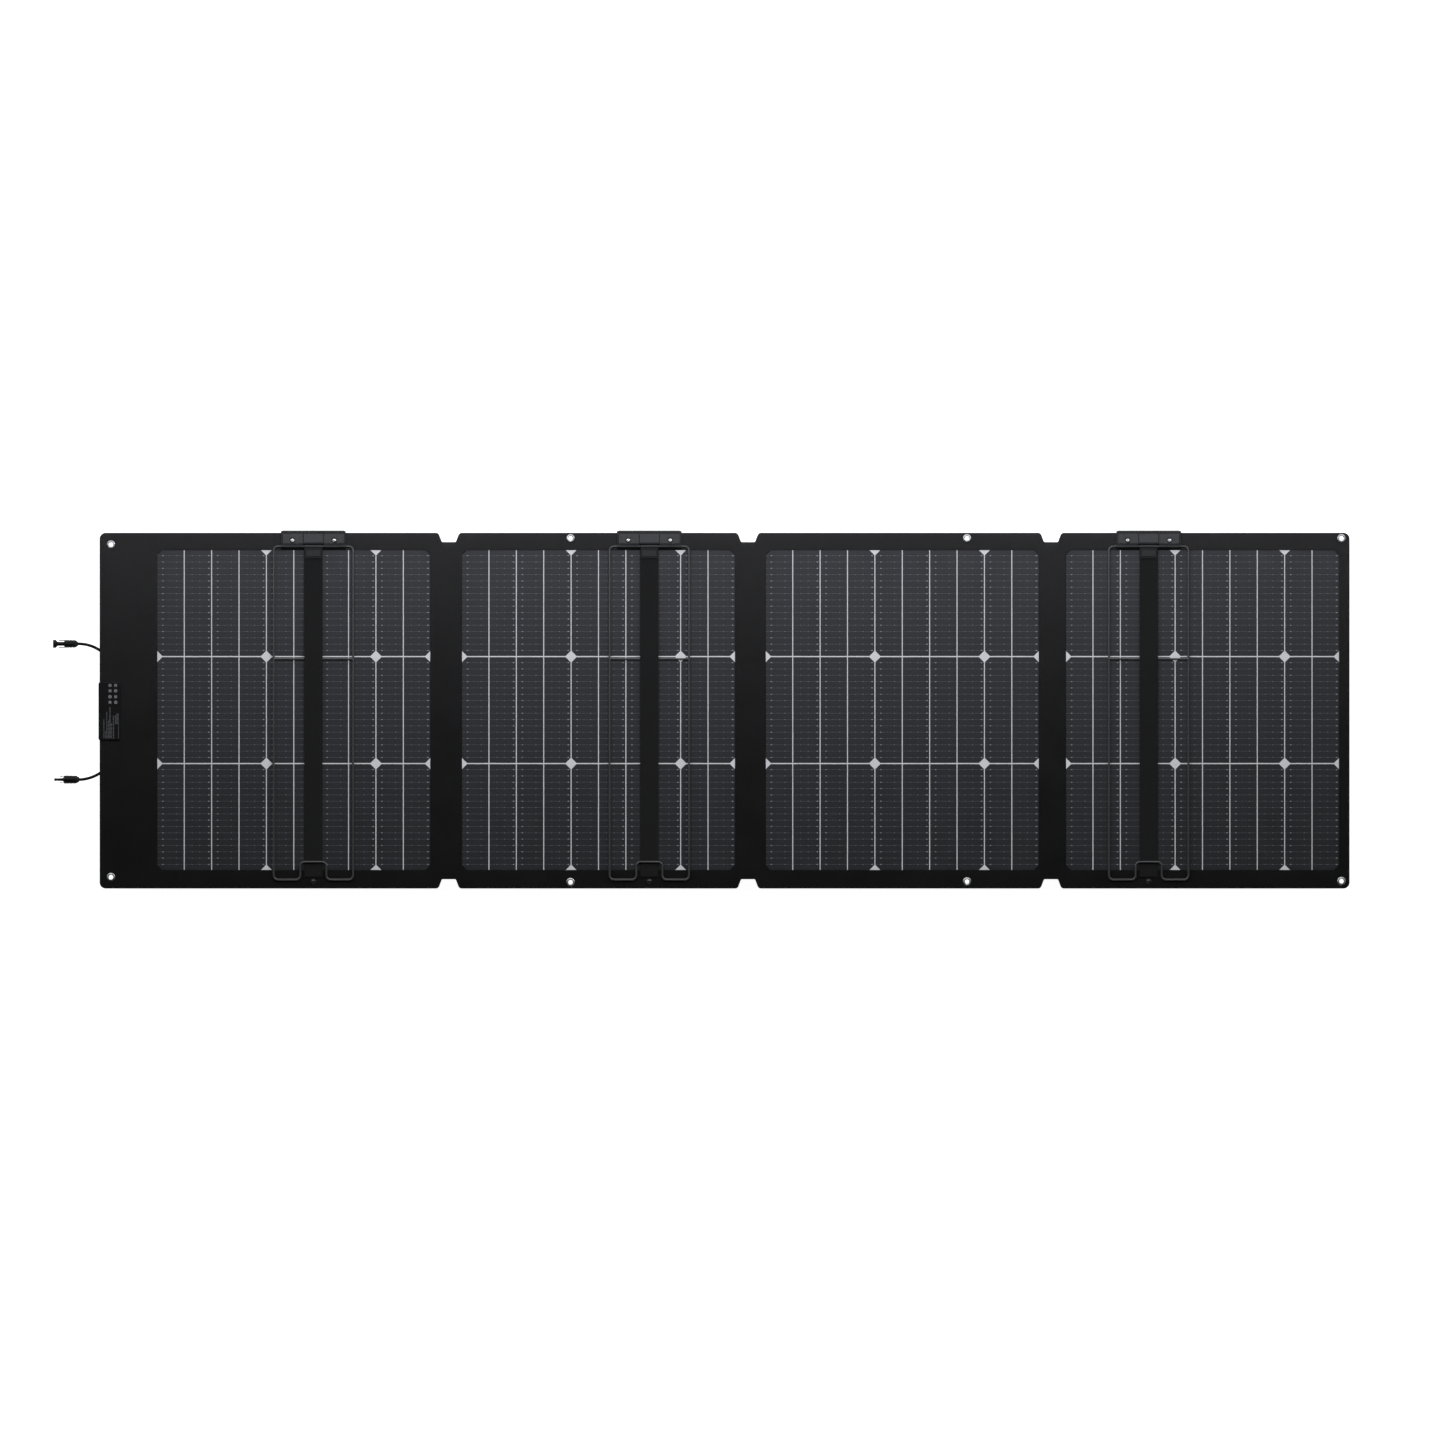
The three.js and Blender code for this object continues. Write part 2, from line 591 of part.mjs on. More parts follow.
const leadEnds = LEAD_POINTS.map((points) => points[points.length - 1]);
LEAD_POINTS.forEach((points, i) => {
  place(group, `lead_${i + 1}`, sweep(leadCurve(points), LEAD_STEPS, LEAD_R, 10), rubberFinish);
});
place(group, 'socket_nut', glandNut(leadEnds[0], 10, 3.6, 6.7), plasticFinish);
place(group, 'socket_connector', socketConnector(leadEnds[0]), plasticFinish);
place(group, 'plug_nut', glandNut(leadEnds[1], 12, 3.9, 7.1), plasticFinish);
place(group, 'plug_connector', plugConnector(leadEnds[1]), plasticFinish);

export default group;
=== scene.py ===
"""The looks of a folding solar sheet that lies flat with its rear face up: four framed cell
sections, three fabric folds, three wire stands in clamps, eyelets, a junction box and two leads.
Helpers take millimetres in the row frame, as the CAD source does, and turn them into metres."""

import math
import random

import bpy
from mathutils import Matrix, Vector
from mathutils.geometry import delaunay_2d_cdt


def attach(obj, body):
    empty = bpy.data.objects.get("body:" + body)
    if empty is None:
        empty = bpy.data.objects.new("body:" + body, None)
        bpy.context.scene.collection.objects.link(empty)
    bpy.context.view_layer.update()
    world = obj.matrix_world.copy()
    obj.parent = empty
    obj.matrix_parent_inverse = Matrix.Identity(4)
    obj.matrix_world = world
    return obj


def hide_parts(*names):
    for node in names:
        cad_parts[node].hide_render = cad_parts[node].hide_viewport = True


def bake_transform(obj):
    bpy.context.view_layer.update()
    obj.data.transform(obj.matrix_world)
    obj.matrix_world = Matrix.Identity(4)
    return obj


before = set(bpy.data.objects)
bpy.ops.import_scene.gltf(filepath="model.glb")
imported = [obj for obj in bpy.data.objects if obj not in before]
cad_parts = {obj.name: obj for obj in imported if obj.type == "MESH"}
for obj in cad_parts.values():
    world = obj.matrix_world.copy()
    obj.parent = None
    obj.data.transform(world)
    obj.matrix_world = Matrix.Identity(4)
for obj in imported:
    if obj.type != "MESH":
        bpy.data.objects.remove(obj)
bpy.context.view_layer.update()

MM = 0.001
scene = bpy.context.scene

# Dimensions, as in the CAD source -------------------------

SHEET_LEFT, SHEET_RIGHT, SHEET_TOP, SHEET_BOTTOM = -1074, 1076, 304, -308
SHEET_CORNER = 10.5
FOLD_X = [-473.3, 41.3, 562.4]
FOLD_EDGE = 9.8                 # where a border ends at a fold
NOTCH_DEPTH, NOTCH_MOUTH, NOTCH_FLOOR = 16, 17.9, 11.9
UNDERSIDE, REAR = 1.5, 6.5
RIM_WIDTH, RIM_DROP = 1.0, 0.75     # the thin welded edge all round the sheet

CELLS_Y = -1
STRIP_PITCH, STRIP_WIDTH = 47.1, 45.5
ROW_PITCH, ROW_HEIGHT = 184, 182
AREA_HALF_X, AREA_HALF_Y = 234.7, 275
CHAMFER = 8.5

PIVOT_Y, PIVOT_Z = 280.5, 9.7
WIRE_R, WIRE_BEND, LEG_HALF = 1.75, 7.5, 68.3
FOOT_Y, GRIP_HALF, GRIP_Y, CROSSBAR_Y = -292.6, 22.4, -262.2, 87
STRAP_HALF, STRAP_THICK = 15.7, 1.1
STRAP_PATH = [(274, 9.4), (254, 9.4), (190, 10.2), (130, 11.4), (100, 12), (74, 12), (44, 11.4),
              (-60, 9.2), (-180, 7.6), (-240, 7.3), (-287.8, 7.3)]
CLIP_HALF, CLIP_END = 15, 259.7
CLAMP_HALF, CLAMP_BOTTOM, CLAMP_TOP = 55.8, 284, 308
ZONE_HALF, CHEEK_END, CHEEK_BOTTOM, CHEEK_TOP = 17.4, 52.4, 285.2, 301.9
BED_Z, RIM_Z, PLATE_Z, CHEEK_Z = 10.6, 12.3, 12.8, 13.2     # heights on the clamp
# Lower edge of the painted shadow strip below the clamp's knuckles, a near-black sheet where the
# border only lies in shade
SHADOW_STRIP_BOTTOM = 274.4
SCREW_X, SCREW_Y = 36.1, 290.7
STUD_Y = -296
BOX_LEFT, BOX_RIGHT, BOX_BOTTOM, BOX_TOP = -1076, -1038, -53, 47
BITE_X, BITE_BOTTOM, BITE_TOP = -1041, -50, 44

SECTIONS = [
    dict(left=SHEET_LEFT, right=FOLD_X[0], cells=-740, stand=-706.4,
         eyelets=[(-1054.4, 283.8), (-1054.4, -288.1)]),
    dict(left=FOLD_X[0], right=FOLD_X[1], cells=-215.9, stand=-128.5,
         eyelets=[(-264, 294.5), (-264, -296.7)]),
    dict(left=FOLD_X[1], right=FOLD_X[2], cells=306.6, stand=None,
         eyelets=[(418, 294.5), (418, -295.8)]),
    dict(left=FOLD_X[2], right=SHEET_RIGHT, cells=823, stand=730.5,
         eyelets=[(1062, 294.5), (1062, -295)]),
]

LEAD_R = 2.5
LEAD_BEND = [(-1056.6, 75.9, 2.7), (-1058.4, 82.5, 2.7), (-1061.3, 88.8, 2.7), (-1065.2, 94.4, 2.7),
             (-1070.1, 99.3, 2.7), (-1074, 102.1, 2.7), (-1080.1, 105.6, 3.1),
             (-1087.6, 108.9, 4.2), (-1095.4, 111.2, 5.6)]
LEADS_MIRROR_Y = -3.85          # the second lead's bend is the first one's, mirrored here
LEAD_ROUTES = [
    [(-1056, 52.3, 2.7), (-1056, 60, 2.7), (-1056, 69, 2.7), *LEAD_BEND,
     (-1101.5, 112.3, 6.6), (-1106.2, 112.8, 7.05), (-1110.8, 112.9, 7.2)],
    [(-1056, -58.3, 2.7), (-1056, -66, 2.7), (-1056, -76.7, 2.7),
     *((x, 2 * LEADS_MIRROR_Y - y, z) for x, y, z in LEAD_BEND),
     (-1100.2, -119.8, 6.5), (-1104.4, -120.4, 7), (-1108.5, -120.6, 7.2)],
]

# Camera: straight down on the sheet's rear face -----------

VIEW_WIDTH = 2.4854
VIEW_CENTRE = (-0.0026, -0.0224)
camera = bpy.data.objects.new("camera", bpy.data.cameras.new("camera"))
camera.data.type = "ORTHO"
camera.data.ortho_scale = VIEW_WIDTH
camera.data.clip_end = 50
camera.location = (*VIEW_CENTRE, 4)
scene.collection.objects.link(camera)
scene.camera = camera
scene.view_settings.view_transform = "Standard"


# Shader helpers -------------------------------------------

class Nodes:
    """A node tree, with short names for the nodes that the finishes and the sky use."""

    def __init__(self, tree):
        self.tree = tree

    def node(self, kind):
        return self.tree.nodes.new("ShaderNode" + kind)

    def feed(self, socket, value):
        if isinstance(value, bpy.types.NodeSocket):
            self.tree.links.new(value, socket)
        elif hasattr(value, "__len__") and len(value) == 3 and len(socket.default_value) == 4:
            socket.default_value = (*value, 1)
        else:
            socket.default_value = value

    def math(self, operation, *values, clamp=False):
        node = self.node("Math")
        node.operation = operation
        node.use_clamp = clamp
        for socket, value in zip(node.inputs, values):
            self.feed(socket, value)
        return node.outputs[0]

    def total(self, values):
        result = values[0]
        for value in values[1:]:
            result = self.math("ADD", result, value)
        return result

    def product(self, *values):
        result = values[0]
        for value in values[1:]:
            result = self.math("MULTIPLY", result, value)
        return result

    def mix(self, share, a, b):
        node = self.node("Mix")
        node.data_type = "RGBA"
        self.feed(node.inputs[0], share)
        self.feed(node.inputs[6], a)
        self.feed(node.inputs[7], b)
        return node.outputs[2]

    def place(self, source="Object", offset=(0, 0, 0), scale=1000):
        """Coordinates in millimetres: the row frame's for Object, the flat piece's own for UV."""
        coordinates = self.node("TexCoord")
        mapping = self.node("Mapping")
        self.feed(mapping.inputs["Vector"], coordinates.outputs[source])
        mapping.inputs["Location"].default_value = offset
        scales = scale if hasattr(scale, "__len__") else (scale,) * 3
        mapping.inputs["Scale"].default_value = scales
        return mapping.outputs[0]

    def split(self, vector):
        node = self.node("SeparateXYZ")
        self.feed(node.inputs[0], vector)
        return node.outputs[0], node.outputs[1], node.outputs[2]

    def noise(self, vector, scale, detail=2.0, roughness=0.5):
        node = self.node("TexNoise")
        self.feed(node.inputs["Vector"], vector)
        node.inputs["Scale"].default_value = scale
        node.inputs["Detail"].default_value = detail
        node.inputs["Roughness"].default_value = roughness
        return node.outputs[0]

    def map_range(self, value, *ends):
        """Maps the first two numbers to the last two."""
        node = self.node("MapRange")
        for socket, number in zip(node.inputs[1:5], ends):
            socket.default_value = number
        self.feed(node.inputs[0], value)
        return node.outputs[0]

    def spread(self, value, low, high):
        """Maps 0.3 to 0.7, where a noise lies, to low and high."""
        return self.map_range(value, 0.3, 0.7, low, high)

    def within(self, value, limit):
        return self.math("LESS_THAN", value, limit)


class Material(Nodes):
    """A material whose surface is one principled shader."""

    def __init__(self, name):
        self.material = bpy.data.materials.new(name)
        self.material.use_nodes = True
        super().__init__(self.material.node_tree)
        self.tree.nodes.clear()
        self.shader = self.node("BsdfPrincipled")
        output = self.node("OutputMaterial")
        self.tree.links.new(self.shader.outputs[0], output.inputs["Surface"])

    def set(self, **values):
        """Feeds the shader's own sockets: set(Base_Color=..., Roughness=...)."""
        for name, value in values.items():
            self.feed(self.shader.inputs[name.replace("_", " ")], value)

    def bump(self, height, distance, strength=1.0):
        node = self.node("Bump")
        node.inputs["Strength"].default_value = strength
        node.inputs["Distance"].default_value = distance * MM
        self.feed(node.inputs["Height"], height)
        self.feed(self.shader.inputs["Normal"], node.outputs[0])


WEAVE_PITCH, TWILL_PITCH, TWILL_RUN = 1.3, 1.6, 4.0


def fabric_material():
    """Black coated cloth: a fine plain weave, faint mottling and a rubbed, lighter edge."""
    m = Material("border_fabric")
    place = m.place("UV")
    x, y, _ = m.split(place)
    weave = m.product(*(m.math("SINE", m.product(along, 2 * math.pi / WEAVE_PITCH))
                        for along in (x, y)))
    mottle = m.noise(place, 0.016, 4)
    grain = m.noise(place, 1.6, 3)
    tone = m.total([m.spread(mottle, 0.35, 0.6), m.spread(grain, -0.15, 0.15)])
    wear = m.node("Attribute")
    wear.attribute_name = "wear"
    rubbed = m.math("MULTIPLY", wear.outputs["Fac"], m.spread(grain, 0.1, 0.7), clamp=True)
    cloth = m.mix(tone, (0.0058, 0.0058, 0.006), (0.0094, 0.0094, 0.0097))
    m.set(Base_Color=m.mix(rubbed, cloth, (0.018, 0.0185, 0.0195)),
          Roughness=m.spread(mottle, 0.32, 0.37), Specular_IOR_Level=0.19)
    m.bump(m.total([m.product(weave, 0.6), m.product(grain, 0.5)]), 0.05)
    return m.material


def webbing_material():
    """Flat woven strap: a herringbone twill that changes direction every few ribs."""
    m = Material("webbing")
    x, y, _ = m.split(m.place("UV"))
    turn = m.math("PINGPONG", x, TWILL_RUN)
    twill = m.math("SINE", m.product(m.math("ADD", turn, y), 2 * math.pi / TWILL_PITCH))
    fuzz = m.noise(m.place("UV"), 2.2, 3)
    tone = m.total([m.spread(fuzz, 0.25, 0.6), m.product(twill, 0.18)])
    m.set(Base_Color=m.mix(tone, (0.0040, 0.0041, 0.0043), (0.0112, 0.0114, 0.0119)),
          Roughness=m.spread(fuzz, 0.7, 0.86), Specular_IOR_Level=0.22, Sheen_Weight=0.05)
    m.bump(m.total([m.product(twill, 0.5), fuzz]), 0.07)
    return m.material


def plastic_material(name, colour, roughness, grain_size=0.35, specular=0.5, wear=1.6):
    """Moulded plastic with a fine spark grain, a soft mottle and lighter handled spots."""
    m = Material(name)
    place = m.place()
    grain = m.noise(place, 1 / grain_size, 2)
    mottle = m.noise(place, 0.05, 4)
    darker = tuple(c * 0.82 for c in colour)
    lighter = tuple(c * wear for c in colour)
    tone = m.total([m.spread(grain, -0.2, 0.2), m.spread(mottle, 0.15, 0.6)])
    m.set(Base_Color=m.mix(tone, darker, lighter),
          Roughness=m.spread(mottle, roughness - 0.05, roughness + 0.07),
          Specular_IOR_Level=specular)
    m.bump(grain, 0.03, 0.6)
    return m.material


def metal_material(name, colour, roughness, metallic, scratch=0.5, specular=0.5):
    """Bright or painted metal with long faint scratches and a cloudy roughness."""
    m = Material(name)
    scratches = m.noise(m.place(scale=(1000, 160, 1000)), 1.4, 4, 0.65)
    cloud = m.noise(m.place(), 0.12, 3)
    dull = tuple(c * 0.72 for c in colour)
    m.set(Base_Color=m.mix(m.spread(cloud, 0.2, 1.0), dull, colour),
          Roughness=m.total([m.spread(cloud, roughness - 0.04, roughness + 0.05),
                             m.spread(scratches, -0.05, 0.06)]),
          Metallic=metallic, Specular_IOR_Level=specular)
    m.bump(scratches, 0.02, scratch)
    return m.material


# The cells' pads along a pair of strips: distance from its left edge, width, height, strength
PADS = [(9.6, 2.9, 1.5, 1.0), (21.4, 1.8, 0.8, 0.25), (33.0, 2.4, 1.2, 0.5), (59.9, 2.2, 1.1, 0.4),
        (73.0, 2.4, 1.2, 0.45), (88.6, 3.0, 1.6, 1.15)]
BUSBAR_FIRST, BUSBAR_PITCH, BUSBAR_HALF = 9.5, 10.87, 0.28
DASH_PITCH, DASH_LENGTH = 5.9, 4.1      # a busbar is printed as strong dashes on a faint line
FINGER_PITCH, FINGER_WIDTH = 1.45, 0.11
DARK_EDGE = 1.3


def cell_faces(m, area_left):
    """The nodes that the printed face of a section's cells needs: colour of the silicon with its
    busbars and pads, and where each point lies in its own strip and row."""
    place = m.place(offset=(-area_left, -(CELLS_Y - AREA_HALF_Y), 0))
    x, y, _ = m.split(place)
    strip = m.math("MODULO", x, STRIP_PITCH)
    pair = m.math("MODULO", x, 2 * STRIP_PITCH)
    row = m.math("MODULO", y, ROW_PITCH)
    bar_distance = m.math("ABSOLUTE", m.math("SUBTRACT", m.math("MODULO", m.math(
        "ADD", row, 1.5 * BUSBAR_PITCH - BUSBAR_FIRST), BUSBAR_PITCH), BUSBAR_PITCH / 2))
    dash = m.within(m.math("MODULO", x, DASH_PITCH), DASH_LENGTH)
    line = m.product(m.within(bar_distance, BUSBAR_HALF), m.math("MULTIPLY_ADD", dash, 0.6, 0.4))
    pads = []
    for centre, width, height, strength in PADS:
        across = m.math("DIVIDE", m.math("SUBTRACT", pair, centre), width / 2)
        up = m.math("DIVIDE", bar_distance, height / 2)
        inside = m.within(m.total([m.product(across, across), m.product(up, up)]), 1.0)
        pads.append(m.product(inside, strength))
    finger = m.within(m.math("MODULO", x, FINGER_PITCH), FINGER_WIDTH)
    tint = m.node("TexWhiteNoise")
    tint.noise_dimensions = "2D"
    corner = m.node("CombineXYZ")
    m.feed(corner.inputs[0], m.math("FLOOR", m.math("DIVIDE", x, STRIP_PITCH)))
    m.feed(corner.inputs[1], m.math("FLOOR", m.math("DIVIDE", y, ROW_PITCH)))
    m.feed(tint.inputs["Vector"], corner.outputs[0])
    cloud = m.noise(place, 0.02, 4)
    edge = m.math("MINIMUM", strip, m.math("SUBTRACT", STRIP_WIDTH, strip))
    return dict(place=place, strip=strip, row=row, line=line, pads=m.total(pads), finger=finger,
                tint=tint.outputs["Value"], cloud=cloud, edge=edge, x=x, y=y)


def silicon(m, f, dark, light, print_colour, line_share, pad_share):
    """Silicon blue-grey with a tint for each strip, darker strip edges, and the silver print."""
    tone = m.total([m.product(f["tint"], 0.28), m.spread(f["cloud"], 0.15, 0.62)])
    base = m.mix(tone, dark, light)
    darker = tuple(c * 0.5 for c in dark)
    base = m.mix(m.product(m.within(f["edge"], DARK_EDGE), 0.45), base, darker)
    base = m.mix(m.product(f["finger"], 0.1), base, print_colour)
    base = m.mix(m.product(f["line"], line_share), base, print_colour)
    return m.mix(m.math("MULTIPLY", f["pads"], pad_share, clamp=True), base, print_colour)


def cell_material(area_left, index):
    """A section's rear cell faces under embossed clear film."""
    m = Material(f"cells_{index}")
    f = cell_faces(m, area_left)
    m.set(Base_Color=silicon(m, f, (0.0014, 0.0015, 0.0024), (0.0034, 0.0036, 0.0052),
                             (0.30, 0.31, 0.33), 0.26, 0.9),
          Roughness=m.spread(f["cloud"], 0.50, 0.58), Specular_IOR_Level=0.62,
          Specular_Tint=(0.95, 0.97, 1.03))
    emboss = m.noise(f["place"], 0.9, 1)
    m.bump(m.total([emboss, m.product(f["line"], 0.4), m.product(f["pads"], 0.5)]), 0.03, 0.5)
    return m.material


def film_material():
    """The pale film between the cells: opal plastic, a little cloudy, with the same gloss."""
    m = Material("gap_film")
    place = m.place()
    cloud = m.noise(place, 0.05, 4)
    speck = m.noise(place, 2.5, 2)
    m.set(Base_Color=m.mix(m.total([m.spread(cloud, 0.2, 0.7), m.spread(speck, -0.1, 0.2)]),
                           (0.70, 0.705, 0.72), (0.82, 0.825, 0.84)),
          Roughness=m.spread(cloud, 0.40, 0.48))
    m.bump(speck, 0.03, 0.5)
    return m.material


def front_material(area_left, index):
    """The sunny side: dark cells, their print, and pale gaps and diamonds, under dimpled film."""
    m = Material(f"front_film_{index}")
    f = cell_faces(m, area_left)
    cells = silicon(m, f, (0.004, 0.005, 0.009), (0.009, 0.012, 0.022), (0.34, 0.35, 0.37),
                    0.5, 0.5)
    gap_x = m.math("GREATER_THAN", f["strip"], STRIP_WIDTH)
    gap_y = m.math("GREATER_THAN", f["row"], ROW_HEIGHT)
    to_row = m.math("PINGPONG", m.math("ADD", f["y"], (ROW_PITCH - ROW_HEIGHT) / 2), ROW_PITCH / 2)
    wafer = m.math("ADD", f["x"], (STRIP_PITCH - STRIP_WIDTH) / 2)
    to_wafer = m.math("PINGPONG", wafer, 2 * STRIP_PITCH)
    diamond = m.within(m.math("ADD", to_row, to_wafer), CHAMFER + 1)
    gaps = m.math("MAXIMUM", m.math("MAXIMUM", gap_x, gap_y), diamond)
    m.set(Base_Color=m.mix(gaps, cells, (0.62, 0.63, 0.66)), Roughness=0.32, Coat_Weight=0.4,
          Coat_Roughness=0.2)
    dimples = m.node("TexVoronoi")
    m.feed(dimples.inputs["Vector"], f["place"])
    dimples.inputs["Scale"].default_value = 0.8
    m.bump(dimples.outputs["Distance"], 0.08, 0.6)
    return m.material


def board_material():
    """Green circuit board with a paler trace pattern and dark diode bodies on top."""
    m = Material("circuit_board")
    place = m.place()
    bricks = m.node("TexBrick")
    m.feed(bricks.inputs["Vector"], place)
    bricks.inputs["Scale"].default_value = 0.12
    bricks.inputs["Mortar Size"].default_value = 0.05
    _, _, z = m.split(place)
    green = m.mix(bricks.outputs["Fac"], (0.015, 0.075, 0.03), (0.03, 0.14, 0.05))
    m.set(Base_Color=m.mix(m.math("GREATER_THAN", z, 3.5), green, (0.012, 0.012, 0.013)),
          Roughness=m.spread(m.noise(place, 0.4, 2), 0.35, 0.5))
    m.bump(bricks.outputs["Fac"], 0.05)
    return m.material


FABRIC = fabric_material()
WEBBING = webbing_material()
CLAMP_PLASTIC = plastic_material("clamp_plastic", (0.0165, 0.017, 0.0185), 0.42)
PLATE_PLASTIC = plastic_material("clamp_plate", (0.0195, 0.0195, 0.0245), 0.4)
# A darker copy of the clamp plastic for the clamp's base: painted shade that shows in the grooves
# between rim, cheeks and plate
SHADED_BASE_PLASTIC = plastic_material("clamp_base_painted_shade", (0.005, 0.0051, 0.0054), 0.45, specular=0.35)
LEAF_PLASTIC = plastic_material("clip_leaf", (0.0055, 0.0056, 0.0062), 0.45, specular=0.2)
PAD_PLASTIC = plastic_material("clip_pad", (0.0105, 0.0105, 0.0125), 0.42, specular=0.3)
# Near-black plastic that paints the shadow below the clamp's knuckles
PAINTED_SHADOW_STRIP = plastic_material("painted_shadow_strip", (0.0016, 0.0016, 0.0017), 0.6, 0.5, 0.08)
BLACK_PLASTIC = plastic_material("black_plastic", (0.0065, 0.0065, 0.0068), 0.5)
STUD_PLASTIC = plastic_material("stud_plastic", (0.010, 0.010, 0.0104), 0.26, 0.6)
CONNECTOR_PLASTIC = plastic_material("connector_plastic", (0.0014, 0.0014, 0.0015), 0.42,
                                     specular=0.2)
RUBBER = plastic_material("cable_jacket", (0.0013, 0.0013, 0.0014), 0.6, 0.2, 0.15)
INK = plastic_material("label_ink", (0.30, 0.305, 0.32), 0.6, 0.5, 0.3, 1.3)
INK_DIM = plastic_material("label_ink_dim", (0.085, 0.087, 0.093), 0.6, 0.5, 0.3, 1.3)
BOX_PLASTIC = plastic_material("box_plastic", (0.0042, 0.0042, 0.0045), 0.45, specular=0.14)
STEEL = metal_material("plated_steel", (0.56, 0.565, 0.58), 0.27, 1.0)
WIRE = metal_material("black_wire", (0.022, 0.022, 0.0225), 0.42, 0.0, 0.4, 1.0)
# The wire paint made lighter for the crossbar: a painted highlight for its brighter reflection
BAR_PAINTED_HIGHLIGHT = metal_material("black_bar_painted_highlight", (0.035, 0.035, 0.036), 0.42, 0.0, 0.4, 1.0)


# Mesh helpers ---------------------------------------------

class Build:
    """Collects closed solids into one mesh: shells of stacked rings, turned parts and tubes."""

    def __init__(self, shift=(0, 0, 0)):
        self.vertices = []
        self.faces = []
        self.slots = []
        self.wear = {}
        self.slot = 0
        self.shift = shift

    def point(self, x, y, z, wear=0.0):
        dx, dy, dz = self.shift
        self.vertices.append((x + dx, y + dy, z + dz))
        if wear:
            self.wear[len(self.vertices) - 1] = wear
        return len(self.vertices) - 1

    def face(self, *corners):
        self.faces.append(corners)
        self.slots.append(self.slot)

    def band(self, lower, upper):
        """Faces between two closed rings of the same length."""
        count = len(lower)
        for i in range(count):
            j = (i + 1) % count
            self.face(lower[i], lower[j], upper[j], upper[i])

    def shell(self, loops, turn=lambda u, v, w: (u, v, w)):
        """A closed solid. Each loop is (points, profile): points (u, v, weight) with the material
        on their left, and profile (inset, height, wear) from the bottom to the top. The first
        loop goes round the outside."""
        ends = ([], [])
        for points, profile in loops:
            rings = []
            for inset, height, wear in profile:
                moved = inset_points(points, inset)
                rings.append([self.point(*turn(u, v, height), wear) for u, v in moved])
            for lower, upper in zip(rings, rings[1:]):
                self.band(lower, upper)
            ends[0].append((rings[0], inset_points(points, profile[0][0])))
            ends[1].append((rings[-1], inset_points(points, profile[-1][0])))
        for cap, up in zip(ends, (False, True)):
            if len(cap) == 1:
                self.face(*(cap[0][0] if up else reversed(cap[0][0])))
                continue
            indices = [i for ring, _ in cap for i in ring]
            places = [Vector(p) for _, loop in cap for p in loop]
            edges = []
            for ring, _ in cap:
                start = len(edges)
                edges += [(start + i, start + (i + 1) % len(ring)) for i in range(len(ring))]
            outer = [list(range(len(cap[0][0])))]
            _, _, triangles, origins, _, _ = delaunay_2d_cdt(places, edges, outer, 2, 1e-6)
            for triangle in triangles:
                a, b, c = (indices[origins[i][0]] for i in triangle)
                self.face(a, b, c) if up else self.face(a, c, b)

    def lathe(self, profile, centre, sides=48, axis="Z", closed=False, flutes=0, depth=0.0):
        """Turns (radius, height) pairs round an axis. A closed profile makes a ring."""
        cx, cy, cz = centre
        rings = []
        for r, h in profile:
            if r == 0:
                rings.append([self.point(*aligned(axis, cx, cy, cz, 0, 0, h))])
                continue
            ring = []
            for i in range(sides):
                angle = 2 * math.pi * i / sides
                wide = r - depth * (0.5 + 0.5 * math.cos(flutes * angle)) if flutes else r
                ring.append(self.point(*aligned(
                    axis, cx, cy, cz, wide * math.cos(angle), wide * math.sin(angle), h)))
            rings.append(ring)
        pairs = list(zip(rings, rings[1:])) + ([(rings[-1], rings[0])] if closed else [])
        for lower, upper in pairs:
            if len(lower) > 1 and len(upper) > 1:
                self.band(lower, upper)
                continue
            for i in range(sides):
                j = (i + 1) % sides
                if len(lower) == 1:
                    self.face(upper[j], upper[i], lower[0])
                else:
                    self.face(lower[i], lower[j], upper[0])

    def tube(self, path, radius, sides=16):
        """A round bar that follows points, with domed ends."""
        points = [Vector(p) for p in path]
        tangents = [(points[min(i + 1, len(points) - 1)] - points[max(i - 1, 0)]).normalized()
                    for i in range(len(points))]
        side = tangents[0].orthogonal().normalized()
        if abs(tangents[0].z) < 0.9:
            side = tangents[0].cross(Vector((0, 0, 1))).normalized()
        rings = []
        for place, tangent in zip(points, tangents):
            side = (side - tangent * side.dot(tangent)).normalized()
            other = tangent.cross(side)
            rings.append((place, tangent, side, other))
        dome = 0.35, 0.6
        stations = [(rings[0], -dome[0], dome[1]), *((ring, 0, 1) for ring in rings),
                    (rings[-1], *dome)]
        loops = []
        for (place, tangent, side, other), ahead, share in stations:
            loop = []
            for i in range(sides):
                angle = 2 * math.pi * i / sides
                offset = (side * math.cos(angle) + other * math.sin(angle)) * radius * share
                loop.append(self.point(*(place + offset + tangent * radius * ahead)))
            loops.append(loop)
        for lower, upper in zip(loops, loops[1:]):
            self.band(lower, upper)
        self.face(*reversed(loops[0]))
        self.face(*loops[-1])

    def sheet(self, top, low):
        """Closes two grids of points, whose rows go up the sheet, into one thin solid."""
        columns = range(len(top[0]) - 1)
        for j in range(len(top) - 1):
            for i in columns:
                self.face(top[j][i], top[j][i + 1], top[j + 1][i + 1], top[j + 1][i])
                self.face(low[j][i], low[j + 1][i], low[j + 1][i + 1], low[j][i + 1])
            self.face(top[j][0], top[j + 1][0], low[j + 1][0], low[j][0])
            self.face(top[j][-1], low[j][-1], low[j + 1][-1], top[j + 1][-1])
        for i in columns:
            self.face(top[0][i], low[0][i], low[0][i + 1], top[0][i + 1])
            self.face(top[-1][i], top[-1][i + 1], low[-1][i + 1], low[-1][i])

